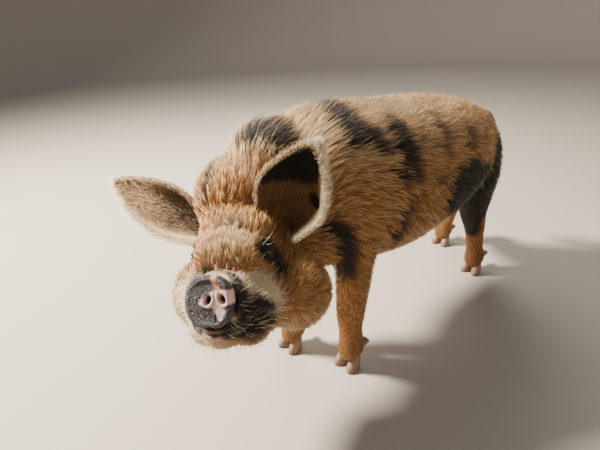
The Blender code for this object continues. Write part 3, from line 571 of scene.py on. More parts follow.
FAR_PATCHES = {
    "near_thigh": [((0.130, 0.235, 0.440), 0.052), ((0.128, 0.262, 0.350), 0.052),
                   ((0.105, 0.288, 0.260), 0.036)],
    "far_shoulder": [((-0.090, -0.320, 0.590), 0.026), ((-0.130, -0.285, 0.540), 0.036),
                     ((-0.158, -0.270, 0.480), 0.024), ((-0.165, -0.300, 0.430), 0.012)],
    "far_stripe": [((-0.110, -0.130, 0.600), 0.016), ((-0.150, -0.110, 0.540), 0.024),
                   ((-0.172, -0.080, 0.470), 0.018), ((-0.176, -0.085, 0.410), 0.010)],
    "far_rib": [((-0.165, 0.040, 0.500), 0.014), ((-0.176, 0.070, 0.430), 0.026),
                ((-0.165, 0.060, 0.360), 0.016)],
    "far_rump": [((-0.070, 0.340, 0.500), 0.028), ((-0.105, 0.310, 0.450), 0.050),
                 ((-0.130, 0.270, 0.400), 0.044), ((-0.120, 0.300, 0.320), 0.034)],
    "far_cheek": [((0.010, -0.610, 0.470), 0.016)],
}
GREY_STRENGTH = 0.62
GREY_PATCHES = ("loin_spot", "loin_stripe", "brow_shade", "rump_spot", "jaw_shade")


def on_skin(u, v):
    """The skin under a pixel of the photo, or the skin nearest to its ray where the ray misses."""
    ray = photo_ray(u, v)
    hit, _, _, _ = skin_tree.ray_cast(EYE_POINT, ray)
    if hit is None:
        tries = [skin_tree.find_nearest(EYE_POINT + ray * (0.5 + 0.01 * step))
                 for step in range(150)]
        hit = min(tries, key=lambda found: found[3])[0]
    return np.array(hit)


def chain_of(name, stops):
    strength = GREY_STRENGTH if name in GREY_PATCHES else 1.0
    return [(np.array(place), radius) for place, radius in stops], strength


CHAINS = [chain_of(name, [(on_skin(u, v), r) for u, v, r in stops])
          for name, stops in SEEN_PATCHES.items()]
CHAINS += [chain_of(name, stops) for name, stops in FAR_PATCHES.items()]
print("patches:", len(CHAINS))


def wobble(points, scale, seed):
    """Smooth noise at an array of places, about -1 to 1."""
    offset = Vector((seed * 7.3, seed * 3.1, seed * 5.7))
    return np.array([noise.noise(Vector(p) * scale + offset) for p in points])


def inside_chain(points, stops):
    """How far inside a chain of balls each place lies, in metres."""
    best = np.full(len(points), -1.0)
    for k, (place, radius) in enumerate(stops):
        best = np.maximum(best, radius - np.linalg.norm(points - place, axis=1))
        if k + 1 < len(stops):
            after, radius_after = stops[k + 1]
            along = after - place
            t = np.clip((points - place) @ along / (along @ along), 0, 1)
            nearest = place + t[:, None] * along
            depth = radius + (radius_after - radius) * t
            best = np.maximum(best, depth - np.linalg.norm(points - nearest, axis=1))
    return best


EDGE = 0.006


def crease_share(x, y, z):
    """1 on the floor of the two creases across the nose, in the head's frame."""
    over = ramp(z, 0.026, 0.040) * (1 - ramp(np.abs(x), 0.036, 0.050))
    return over * np.maximum(bell(y, BRIDGE_CREASE, 0.0036), 0.75 * bell(y, PAD_CREASE, 0.0022))


def markings(points, hair_noise=0.0):
    """Blackness and creaminess of the coat at an array of places."""
    ragged = 0.008 * wobble(points, 26, 1) + 0.004 * wobble(points, 80, 6) + hair_noise
    black = np.zeros(len(points))
    for stops, strength in CHAINS:
        depth = inside_chain(points, stops) + ragged
        black = np.maximum(black, strength * ramp(depth, -EDGE, EDGE))
    x, y, z = in_head(points).T
    near_side = ramp(x, -0.02, 0.03)
    limit = (BRIDGE_CREASE - 0.003 + (0.056 - 0.018 * near_side)
             * (1 - ramp(z, 0.020, 0.045)) * ramp(np.abs(x), 0.025, 0.050))
    muzzle = (1 - ramp(y - limit, -0.006, 0.006)) * (1 - near_side * (1 - ramp(z, -0.055, -0.030)))
    jaw = (1 - ramp(z, -0.050, -0.015)) * (1 - ramp(y, 0.14, 0.22)) * ramp(y, -0.05, 0.0)
    jaw = jaw * (1 - 0.75 * near_side)
    between_legs = ramp(points[:, 1], -0.26, -0.20) * (1 - ramp(points[:, 1], 0.16, 0.22))
    belly = (1 - ramp(points[:, 2], 0.30, 0.37)) * between_legs * 0.5
    crease = crease_share(x, y, z)
    # The floor of the nose creases is darkened: partly its own dark skin, partly painted shade.
    black = np.maximum(black, 0.9 * crease)
    gold = 0.50 * bell(y, 0.080, 0.018) * ramp(z, 0.040, 0.052) * (1 - ramp(np.abs(x), 0.03, 0.05))
    # More cream along the top of the back: partly sun-bleached tips, partly painted light on the
    # top.
    bleached_top_and_painted_light = 0.42 * ramp(points[:, 2], 0.50, 0.63) * (y > 0.14)
    cream = np.maximum(np.maximum(muzzle, 0.6 * jaw), np.where(y > 0.3, belly, 0))
    # The lower legs turn darker towards the feet.
    darker_towards_feet = 0.30 * (1 - ramp(points[:, 2], 0.03, 0.16)) * (y > 0.14)
    black = np.maximum(black, darker_towards_feet)
    return black, np.clip(cream + gold + bleached_top_and_painted_light, 0, 1)


# %% [markdown]
# ## Colour of skin and bristles
# Ginger bristles aren't one colour: they are dark at the root and bleached at the tip, and
# neighbours differ. The skin and every tuft carry four numbers at each corner: blackness,
# creaminess, a tone of its own and the share along the bristle. One shader group turns these
# into a colour, and skin and coat share it, so that the same patches show on both.

# %% The coat's colour group
def shade_group(name, inputs, *outputs):
    group = bpy.data.node_groups.new(name, "ShaderNodeTree")
    for label, kind, value in inputs:
        socket = group.interface.new_socket(label, in_out="INPUT", socket_type=kind)
        socket.default_value = value
    for label, kind in outputs:
        group.interface.new_socket(label, in_out="OUTPUT", socket_type=kind)
    return group, group.nodes.new("NodeGroupInput"), group.nodes.new("NodeGroupOutput")


def mix_colors(nodes, links, factor, first, second):
    node = nodes.new("ShaderNodeMix")
    node.data_type = "RGBA"
    for socket, value in ((node.inputs[0], factor), (node.inputs[6], first),
                          (node.inputs[7], second)):
        if isinstance(value, tuple):
            socket.default_value = (*value, 1)
        elif isinstance(value, float):
            socket.default_value = value
        else:
            links.new(value, socket)
    return node.outputs[2]


def math_node(nodes, links, operation, first, second):
    node = nodes.new("ShaderNodeMath")
    node.operation = operation
    for socket, value in zip(node.inputs, (first, second)):
        if isinstance(value, float):
            socket.default_value = value
        else:
            links.new(value, socket)
    return node.outputs[0]


coat_group, group_in, group_out = shade_group(
    "coat_colour",
    [("Black", "NodeSocketFloat", 0.0), ("Cream", "NodeSocketFloat", 0.0),
     ("Tone", "NodeSocketFloat", 0.5), ("Along", "NodeSocketFloat", 0.0)],
    ("Color", "NodeSocketColor"))
nodes, links = coat_group.nodes, coat_group.links
GINGER_ROOT = (0.13, 0.042, 0.010)
GINGER_DARK = (0.36, 0.130, 0.028)
GINGER_LIGHT = (0.82, 0.43, 0.130)
BLEACHED = (0.97, 0.74, 0.40)
BLACK_DARK = (0.012, 0.010, 0.009)
BLACK_LIGHT = (0.060, 0.048, 0.038)
CREAM_DARK = (0.60, 0.45, 0.27)
CREAM_LIGHT = (0.95, 0.83, 0.60)
shaft = mix_colors(nodes, links, group_in.outputs["Tone"], GINGER_DARK, GINGER_LIGHT)
to_root = math_node(nodes, links, "SUBTRACT", 0.75, group_in.outputs["Along"])
rooted = mix_colors(nodes, links, math_node(nodes, links, "MAXIMUM", to_root, 0.0), shaft,
                    GINGER_ROOT)
tip_share = math_node(nodes, links, "POWER", group_in.outputs["Along"], 3.0)
tipped = mix_colors(nodes, links, math_node(nodes, links, "MULTIPLY", tip_share, 0.55), rooted,
                    BLEACHED)
cream_shaft = mix_colors(nodes, links, group_in.outputs["Tone"], CREAM_DARK, CREAM_LIGHT)
creamy = mix_colors(nodes, links, group_in.outputs["Cream"], tipped, cream_shaft)
black_shaft = mix_colors(nodes, links, group_in.outputs["Tone"], BLACK_DARK, BLACK_LIGHT)
final = mix_colors(nodes, links, group_in.outputs["Black"], creamy, black_shaft)
links.new(final, group_out.inputs["Color"])


grain_group, group_in, group_out = shade_group(
    "fine_grain",
    [("Scale", "NodeSocketFloat", 200.0), ("Smoothest", "NodeSocketFloat", 0.4),
     ("Strength", "NodeSocketFloat", 0.5)],
    ("Roughness", "NodeSocketFloat"), ("Normal", "NodeSocketVector"))
nodes, links = grain_group.nodes, grain_group.links
place = nodes.new("ShaderNodeTexCoord")
grain = nodes.new("ShaderNodeTexNoise")
grain.inputs["Detail"].default_value = 4
links.new(place.outputs["Object"], grain.inputs["Vector"])
links.new(group_in.outputs["Scale"], grain.inputs["Scale"])
rough = math_node(nodes, links, "MULTIPLY", grain.outputs["Fac"], 0.3)
links.new(math_node(nodes, links, "ADD", rough, group_in.outputs["Smoothest"]),
          group_out.inputs["Roughness"])
bump = nodes.new("ShaderNodeBump")
bump.inputs["Distance"].default_value = 0.001
links.new(group_in.outputs["Strength"], bump.inputs["Strength"])
links.new(grain.outputs["Fac"], bump.inputs["Height"])
links.new(bump.outputs["Normal"], group_out.inputs["Normal"])


def coat_material(name, roughness, bump_scale, bump_strength):
    """Reads the four numbers from the mesh and shades them with the group above."""
    material = bpy.data.materials.new(name)
    material.use_nodes = True
    nodes, links = material.node_tree.nodes, material.node_tree.links
    shader = nodes["Principled BSDF"]
    marks = nodes.new("ShaderNodeAttribute")
    marks.attribute_name = "marks"
    parts = nodes.new("ShaderNodeSeparateColor")
    links.new(marks.outputs["Color"], parts.inputs["Color"])
    group = nodes.new("ShaderNodeGroup")
    group.node_tree = coat_group
    for label, socket in zip(("Black", "Cream", "Tone"), parts.outputs):
        links.new(socket, group.inputs[label])
    links.new(marks.outputs["Alpha"], group.inputs["Along"])
    links.new(group.outputs["Color"], shader.inputs["Base Color"])
    grain = nodes.new("ShaderNodeGroup")
    grain.node_tree = grain_group
    grain.inputs["Scale"].default_value = bump_scale
    grain.inputs["Smoothest"].default_value = roughness - 0.15
    grain.inputs["Strength"].default_value = bump_strength
    links.new(grain.outputs["Roughness"], shader.inputs["Roughness"])
    links.new(grain.outputs["Normal"], shader.inputs["Normal"])
    shader.inputs["Specular IOR Level"].default_value = 0.35
    return material


SKIN_MATERIAL = coat_material("skin_under_coat", 0.70, 260, 0.6)
BRISTLE_MATERIAL = coat_material("bristles", 0.48, 180, 0.1)
print("colour group:", len(coat_group.nodes), "nodes")


def write_marks(mesh, values):
    layer = mesh.color_attributes.new("marks", "FLOAT_COLOR", "POINT")
    layer.data.foreach_set("color", np.asarray(values, np.float32).ravel())


points = places_of(skin)
black, cream = markings(points)
tone = 0.10 + 0.20 * wobble(points, 30, 2)
write_marks(skin.data, np.stack([black, cream, tone, np.full(len(points), 0.25)], axis=1))
skin.data.materials.append(SKIN_MATERIAL)
skin.data.shade_smooth()

# %% [markdown]
# ## The lie of the coat
# Bristles point the way water would run off: from the muzzle backwards, up over the forehead,
# down over the jowls, back and down over the flanks and straight down the legs. The direction,
# length, width and rise of a tuft are functions of its root's place, worked out for all roots at
# once with arrays.

# %% Lie, length and thickness
def unit(vectors):
    return vectors / np.maximum(np.linalg.norm(vectors, axis=1), 1e-9)[:, None]


def lie_of_coat(points, normals):
    x, y, z = points.T
    flank = np.clip(np.abs(x) / BARREL_HALF_WIDTH, 0, 1)
    back = np.stack([0 * x, 1 + 0 * x, -0.75 * flank * ramp(-z, -0.62, -0.40) - 0.1], axis=1)
    local = in_head(points)
    face = np.stack([1.5 * local[:, 0], 1 + 0 * x, 0.15 + 8 * np.clip(local[:, 2], -0.03, 0.2)],
                    axis=1) @ HEAD_AXES.T
    behind = (points - HEAD_CUT) @ HEAD_CUT_NORMAL
    on_head = (1 - ramp(behind, -0.040, 0.060))
    on_leg = (1 - ramp(z, 0.20, 0.31)) * (1 - on_head)
    down = np.stack([0 * x, 0.12 + 0 * x, -1 + 0 * x], axis=1)
    lie = unit(back) * (1 - on_head)[:, None] + unit(face) * on_head[:, None]
    lie = lie * (1 - on_leg)[:, None] + down * on_leg[:, None]
    lie -= normals * np.sum(lie * normals, axis=1)[:, None]
    return unit(lie), on_head, on_leg


BODY_BRISTLE = 0.040
CREST_BRISTLE = 0.054
HEAD_BRISTLE = 0.027
FACE_BRISTLE = 0.008
LEG_BRISTLE = 0.014
FOOT_BRISTLE = 0.007
NOSE_BRISTLE = 0.0052
BRIDGE_BRISTLE = 0.019


def length_of_coat(points, on_head, on_leg):
    x, y, z = points.T
    local = in_head(points)
    crest = ramp(z, 0.55, 0.62) * (1 - ramp(np.abs(x), 0.05, 0.12)) * (1 - ramp(y, -0.30, -0.10))
    body = BODY_BRISTLE + (CREST_BRISTLE - BODY_BRISTLE) * crest
    body = body * (0.62 + 0.38 * ramp(z, 0.30, 0.40))
    muzzle = ramp(local[:, 1], 0.055, 0.135)
    head = FACE_BRISTLE + (HEAD_BRISTLE - FACE_BRISTLE) * muzzle
    for side in (1, -1):
        near = 1 - ramp(from_eye(local, side), 0.018, 0.045)
        head = head * (1 - near) + FACE_BRISTLE * near
    x_face, y_face, z_face = local.T
    head = np.where((z_face > 0.02) & (y_face < BRIDGE_CREASE) & (np.abs(x_face) < 0.055),
                    np.minimum(head, NOSE_BRISTLE), head)
    above_nose = (ramp(y_face, BRIDGE_CREASE, BRIDGE_CREASE + 0.004)
                  * (1 - ramp(y_face, 0.095, 0.130)) * ramp(z_face, 0.040, 0.050)
                  * (1 - ramp(np.abs(x_face), 0.038, 0.056)))
    head = np.maximum(head, BRIDGE_BRISTLE * above_nose)
    leg = FOOT_BRISTLE + (LEG_BRISTLE - FOOT_BRISTLE) * ramp(z, 0.06, 0.20)
    leg = leg + (BODY_BRISTLE * 0.6 - LEG_BRISTLE) * ramp(z, 0.20, 0.31)
    length = body * (1 - on_head) + head * on_head
    return length * (1 - on_leg) + leg * on_leg


def width_of_tuft(length):
    """Short tufts are narrow too: 0.6 mm on the face, about 1.2 mm on the flank."""
    return 0.00045 + 0.020 * length


# %% [markdown]
# ## Growing tufts
# Particle hair would be lost when the model is exported, so each tuft is a real sliver of mesh:
# a three-sided blade with one bend and a pointed tip. The bend and the tip are put back above the
# nearest point of the skin, so that a tuft follows the body, and tips are drawn towards those of
# a chosen neighbour, which gives the locks and partings that wiry hair has.

# %% Tufts as one mesh
def roots_on(obj, count, weight_of, draw):
    """Root places, normals and map places, spread evenly over a weighted surface."""
    mesh = obj.data
    mesh.calc_loop_triangles()
    corners = np.empty(len(mesh.loop_triangles) * 3, np.int32)
    mesh.loop_triangles.foreach_get("vertices", corners)
    corners = corners.reshape(-1, 3)
    loops = np.empty(len(mesh.loop_triangles) * 3, np.int32)
    mesh.loop_triangles.foreach_get("loops", loops)
    loops = loops.reshape(-1, 3)
    points = places_of(obj)
    normals = normals_of(obj)
    flat = np.empty(len(mesh.loops) * 2, np.float32)
    mesh.uv_layers[MAP_NAME].data.foreach_get("uv", flat)
    flat = flat.reshape(-1, 2)
    a, b, c = points[corners[:, 0]], points[corners[:, 1]], points[corners[:, 2]]
    area = np.linalg.norm(np.cross(b - a, c - a), axis=1) / 2
    weight = area * weight_of((a + b + c) / 3, unit(normals[corners].mean(axis=1)))
    steps = np.cumsum(weight) / weight.sum()
    picked = np.searchsorted(steps, (np.arange(count) + draw.random(count)) / count)
    picked = np.minimum(picked, len(corners) - 1)
    u, v = draw.random(count), draw.random(count)
    over = u + v > 1
    u[over], v[over] = 1 - u[over], 1 - v[over]
    shares = np.stack([1 - u - v, u, v], axis=1)
    place = np.einsum("nk,nkd->nd", shares, points[corners[picked]])
    normal = unit(np.einsum("nk,nkd->nd", shares, normals[corners[picked]]))
    spot = np.einsum("nk,nkd->nd", shares, flat[loops[picked]])
    return place, normal, spot


def above_skin(tree, places, heights):
    """Each place moved to a height above the nearest point of a surface."""
    out = np.empty_like(places)
    for k, place in enumerate(places):
        near, normal, _, _ = tree.find_nearest(Vector(place))
        out[k] = np.array(near) + np.array(normal) * heights[k]
    return out


PATCH = 0.003


def tuft_mesh(name, root, bend, tip, normal, width, marks, spots, material):
    """Three-sided blades: a ring at the root, a ring at the bend, and a tip."""
    count = len(root)
    side_root = unit(np.cross(bend - root, normal)) * (width / 2)[:, None]
    side_bend = unit(np.cross(tip - bend, normal)) * (width * 0.40)[:, None]
    thick = normal * (width * 0.38)[:, None]
    rings = np.stack([root + side_root, root + thick, root - side_root,
                      bend + side_bend, bend + thick * 0.7, bend - side_bend, tip], axis=1)
    mesh = bpy.data.meshes.new(name)
    mesh.vertices.add(count * 7)
    mesh.vertices.foreach_set("co", rings.astype(np.float32).ravel())
    quads = np.array([[0, 1, 4, 3], [1, 2, 5, 4], [2, 0, 3, 5]])
    tris = np.array([[3, 4, 6], [4, 5, 6], [5, 3, 6], [2, 1, 0]])
    base = np.arange(count)[:, None] * 7
    corners = np.concatenate([base + quads.ravel(), base + tris.ravel()], axis=1)
    sizes = np.tile([4, 4, 4, 3, 3, 3, 3], count)
    starts = np.concatenate([[0], np.cumsum(sizes)[:-1]])
    mesh.loops.add(corners.size)
    mesh.loops.foreach_set("vertex_index", corners.astype(np.int32).ravel())
    mesh.polygons.add(len(sizes))
    mesh.polygons.foreach_set("loop_start", starts.astype(np.int32))
    mesh.update(calc_edges=True)
    along = np.array([0.0, 0.0, 0.0, 0.55, 0.55, 0.55, 1.0])
    values = np.repeat(marks[:, None, :], 7, axis=1)
    values = np.concatenate([values, np.tile(along, (count, 1))[:, :, None]], axis=2)
    write_marks(mesh, values.reshape(-1, 4))
    across = np.array([0.0, 0.5, 1.0, 0.0, 0.5, 1.0, 0.5])
    offsets = np.stack([across, along], axis=1) * PATCH
    corner_kind = np.concatenate([quads.ravel(), tris.ravel()])
    map_places = np.clip(spots, 0, 1 - PATCH)[:, None, :] + offsets[corner_kind][None, :, :]
    layer = mesh.uv_layers.new(name=MAP_NAME)
    layer.data.foreach_set("uv", map_places.astype(np.float32).ravel())
    mesh.materials.append(material)
    mesh.shade_smooth()
    mesh.validate()
    obj = bpy.data.objects.new(name, mesh)
    bpy.context.scene.collection.objects.link(obj)
    return obj


def clumped(root, bend, tip, length, share, every, draw):
    """Draw bends and tips towards those of the nearest chosen neighbour."""
    leaders = np.arange(0, len(root), every)
    tree = KDTree(len(leaders))
    for k, leader in enumerate(leaders):
        tree.insert(root[leader], k)
    tree.balance()
    own = leaders[np.array([tree.find(p)[1] for p in root])]
    pull = share * (0.6 + 0.8 * draw.random(len(root)))
    near = np.linalg.norm(root - root[own], axis=1) < 0.6 * length
    pull = np.clip(np.where(near, pull, 0), 0, 0.9)[:, None]
    return bend + (bend[own] - bend) * pull * 0.35, tip + (tip[own] - tip) * pull


def swept(lie, normal, points, amount, draw):
    """Turn each direction a little within the skin's plane, alike for close neighbours."""
    angle = amount * (0.65 * wobble(points, 26, 4) + 0.35 * wobble(points, 90, 5))
    angle = angle + 0.10 * draw.standard_normal(len(points))
    side = np.cross(normal, lie)
    return unit(lie * np.cos(angle)[:, None] + side * np.sin(angle)[:, None])


# %% [markdown]
# ### The line of the mouth
# No tuft may grow on the mouth, so its line comes before the coat. It could be drawn by hand; here
# a fan of rays from inside the head finds its places on the skin, and its corners rise a little.

# %% The line of the mouth
MOUTH_MIDDLE = Vector((0, 0.062, -0.052))
MOUTH_RISE = 0.032
MOUTH_REACH = math.radians(100)
MOUTH_STEPS = 14
mouth_line, mouth_fade = [], []
for k in range(MOUTH_STEPS + 1):
    share = 2 * k / MOUTH_STEPS - 1
    turned = share * MOUTH_REACH
    way = HEAD_BASIS.to_3x3() @ Vector((math.sin(turned), -math.cos(turned), 0))
    start = head_point(0, MOUTH_MIDDLE.y, MOUTH_MIDDLE.z + MOUTH_RISE * share * share)
    mouth_line.append(skin_tree.ray_cast(start, way)[0])
    mouth_fade.append(1 - 0.62 * abs(share) ** 3)
MOUTH_CHAIN = [(np.array(place), 0.0075 * fade) for place, fade in zip(mouth_line, mouth_fade)]
print("mouth line:", len(mouth_line), "places")

# %% [markdown]
# ## The coat
# Some 118 thousand tufts cover the skin, more to the square centimetre where they are short.
# They are kept in pieces of fewer than two hundred thousand triangles, as layers of the head,
# the legs and the trunk, each spread over its whole region.

# %% Coat on the skin
TUFTS = 118000
LARGEST_PIECE = 19000
SUNK = 0.0015
EYE_BARE = 0.0125
SOLE_BARE = 0.036
COAT_SWEEP = 0.55
CLUMP_PULL = 0.55
CLUMP_EVERY = 11
draw = np.random.default_rng(7)


def coat_weight(points, normals):
    _, on_head, on_leg = lie_of_coat(points, normals)
    length = length_of_coat(points, on_head, on_leg)
    weight = (length * width_of_tuft(length)) ** -0.72
    under_sole = points[:, 2] < SOLE_BARE
    local = in_head(points)
    on_disc = (local[:, 1] < 0.006) & (np.abs(local[:, 0]) < 0.05) & (np.abs(local[:, 2]) < 0.05)
    for side in (1, -1):
        on_disc |= from_eye(local, side) < EYE_BARE
    on_disc |= inside_chain(points, MOUTH_CHAIN) > 0
    on_disc |= crease_share(*local.T) > 0.5
    return np.where(under_sole | on_disc, 0, weight)


root, normal, spots = roots_on(skin, TUFTS, coat_weight, draw)
lie, on_head, on_leg = lie_of_coat(root, normal)
lie = swept(lie, normal, root, COAT_SWEEP, draw)
length = length_of_coat(root, on_head, on_leg) * (0.75 + 0.5 * draw.random(TUFTS))
width = width_of_tuft(length) * (0.8 + 0.4 * draw.random(TUFTS))
crest_share = ramp(root[:, 2], 0.57, 0.62) * (1 - ramp(root[:, 1], -0.30, -0.10))
x, y, z = in_head(root).T
brow_share = (ramp(y, BRIDGE_CREASE, BRIDGE_CREASE + 0.004) * (1 - ramp(y, 0.085, 0.115))
              * ramp(z, 0.040, 0.050) * (1 - ramp(np.abs(x), 0.04, 0.06)))
rise = length * (0.17 + 0.13 * draw.random(TUFTS) + 0.16 * crest_share + 0.30 * brow_share)
bend = above_skin(skin_tree, root + lie * (length * 0.5)[:, None], rise * 0.62)
tip = above_skin(skin_tree, root + lie * length[:, None], rise)
bend, tip = clumped(root, bend, tip, length, CLUMP_PULL, CLUMP_EVERY, draw)
black, cream = markings(root, 0.003 * draw.standard_normal(TUFTS))
lit = 0.16 * ramp(root[:, 2], 0.40, 0.62) - 0.10
tone = 0.46 + lit + 0.34 * wobble(root, 22, 3) + 0.30 * draw.standard_normal(TUFTS)
marks = np.stack([black, cream, np.clip(tone, 0, 1)], axis=1)
start = root - normal * SUNK

region = np.where(on_head > 0.5, 0, np.where(on_leg > 0.5, 2, 1))
COAT_SLOTS = ("head_coat", "body_coat", "leg_coat")
coat = []
for kind, slot_name in enumerate(COAT_SLOTS):
    members = np.flatnonzero(region == kind)
    layers = math.ceil(len(members) / LARGEST_PIECE)
    for layer in range(layers):
        pick = members[layer::layers]
        piece = tuft_mesh(f"{slot_name}_{layer + 1}", start[pick], bend[pick], tip[pick],
                          normal[pick], width[pick], marks[pick], spots[pick], BRISTLE_MATERIAL)
        coat.append(piece)
        print(piece.name, len(pick), "tufts")

# %% [markdown]
# ## Ears
# Each ear is a leaf-shaped shell, open to the front. Its edge could be cut from a picture, but a
# grid of points from a row of widths gives it a thickness and a place for every hair. Inside,
# the left ear is half black with one dark spot; both have cream edges with a long fringe.

# %% Ear shells
EAR_LEFT_ROOT = Vector((0.084, 0.166, 0.120))
EAR_RIGHT_ROOT = Vector((-0.084, 0.168, 0.118))
EAR_THICKNESS = 0.0045
EAR_ROWS = 44
EAR_COLUMNS = 31
EAR_PROFILE = [(-0.16, 0.50, 1.0), (0.0, 0.72, 1.0), (0.25, 0.98, 0.85), (0.45, 0.96, 0.62),
               (0.68, 0.70, 0.42), (0.88, 0.33, 0.25), (1.0, 0.06, 0.15)]
HEAD_FRONT = HEAD_BASIS.to_3x3() @ Vector((0, -1, 0))


def ear_shell(name, root_place, axis, length, half_width, cup, marks_of, thick_edge):
    """The shell with its marks, and what the hair needs: axis, sideways, edge and shares."""
    base = head_point(*root_place)
    axis = (HEAD_BASIS.to_3x3() @ Vector(axis)).normalized()
    facing = (HEAD_FRONT - axis * HEAD_FRONT.dot(axis)).normalized()
    side = axis.cross(facing).normalized()
    bm = bmesh.new()
    grid = []
    marks = []
    for share, width, depth in smooth_rows(EAR_PROFILE, EAR_ROWS):
        row = []
        for k in range(EAR_COLUMNS):
            t = 2 * k / (EAR_COLUMNS - 1) - 1
            bend = axis * length * share - facing * 0.16 * length * share * share
            ripple = 0.0016 * math.sin(9 * share + 4 * t) * abs(t)
            sideways = side * half_width * width * math.sin(t * 1.25) / 0.949
            hollow = facing * (cup * depth * (t * t - 0.45) + ripple)
            row.append(bm.verts.new(base + bend + sideways + hollow))
            marks.append((share, t))
        grid.append(row)
    for a, b in zip(grid, grid[1:]):
        for k in range(EAR_COLUMNS - 1):
            bm.faces.new((a[k], a[k + 1], b[k + 1], b[k]))
    obj = mesh_object(name, bm)
    shell = obj.modifiers.new("thickness", "SOLIDIFY")
    shell.thickness = EAR_THICKNESS
    shell.offset = 0
    bake(obj)
    unwrap(obj)
    shares = np.array(marks * 2)[:len(obj.data.vertices)]
    front = normals_of(obj) @ np.array(facing) > 0
    black, cream, tone = marks_of(shares[:, 0], shares[:, 1], front)
    write_marks(obj.data, np.stack([black, cream, tone, np.full(len(black), 0.30)], axis=1))
    obj.data.materials.append(SKIN_MATERIAL)
    obj.data.shade_smooth()
    facts = dict(axis=np.array(axis), side=np.array(side), facing=np.array(facing),
                 shares=shares, marks_of=marks_of, thick_edge=thick_edge)
    return obj, facts


def left_ear_marks(share, t, front):
    low_line = 0.60 - (0.60 - t) * 0.22
    triangle = (ramp(share - low_line, -0.03, 0.03) * (1 - ramp(share, 0.88, 0.94))
                * (1 - ramp(t, 0.52, 0.66)) * ramp(t, -0.99, -0.93))
    spot = 1 - ramp(np.hypot((t - 0.58) / 0.30, (share - 0.40) / 0.10), 0.75, 1.15)
    shade = 0.42 * (1 - ramp(t, 0.6, 0.8))
    black = np.where(front, np.maximum(np.maximum(triangle, spot), shade), 0.0)
    rim = np.maximum(ramp(t, 0.70, 0.90), np.maximum(0.6 * ramp(-t, 0.93, 0.98),
                                                     ramp(share, 0.89, 0.94)))
    cream = np.maximum(rim, np.where(front, 0.10, 0.15))
    tone = np.where(front, 0.18 + 0.3 * rim, 0.45)
    return black, cream, tone


def right_ear_marks(share, t, front):
    # The inner face is a little dark all over, its own grey-brown, and darker towards its deep
    # base, which is painted shade.
    painted_shade_at_base = (1 - ramp(share, 0.20, 0.62)) * ramp(t, -0.75, -0.30)
    rim = np.maximum(ramp(-t, 0.55, 0.85), np.maximum(ramp(share, 0.84, 0.95),
                                                      0.5 * ramp(t, 0.85, 0.96)))
    black = np.where(front, (0.50 * painted_shade_at_base + 0.24) * (1 - rim), 0.0)
    cream = np.maximum(rim, np.where(front, 0.35, 0.1))
    tone = np.where(front, 0.24 + 0.36 * rim, 0.45)
    return black, cream, tone


ears = {
    "ear_left": ear_shell("left_ear", EAR_LEFT_ROOT, (0.064, -0.080, 0.100), 0.150, 0.062, 0.042,
                          left_ear_marks, 1),
    "ear_right": ear_shell("right_ear", EAR_RIGHT_ROOT, (-0.157, -0.010, 0.087), 0.201, 0.047,
                           0.034, right_ear_marks, -1),
}
print("ears:", {name: len(shell.data.vertices) for name, (shell, _) in ears.items()}, "corners")

# %% [markdown]
# ## Hair on the ears
# Short hair lies from the root of the ear to its tip on both faces. Along the edge it stands
# clear as a pale fringe, longer and denser along one side.

# %% Ear hair
EAR_TUFTS = 9000
FRINGE_TUFTS = 2200
EAR_HAIR = 0.015
FRINGE_HAIR = 0.019


def free_tufts(start, way, droop, length):
    """Bends and tips for hair that stands clear of the skin and bends towards droop."""
    bend = start + way * (length * 0.5)[:, None]
    tip = start + unit(way + droop) * length[:, None]
    return bend, tip


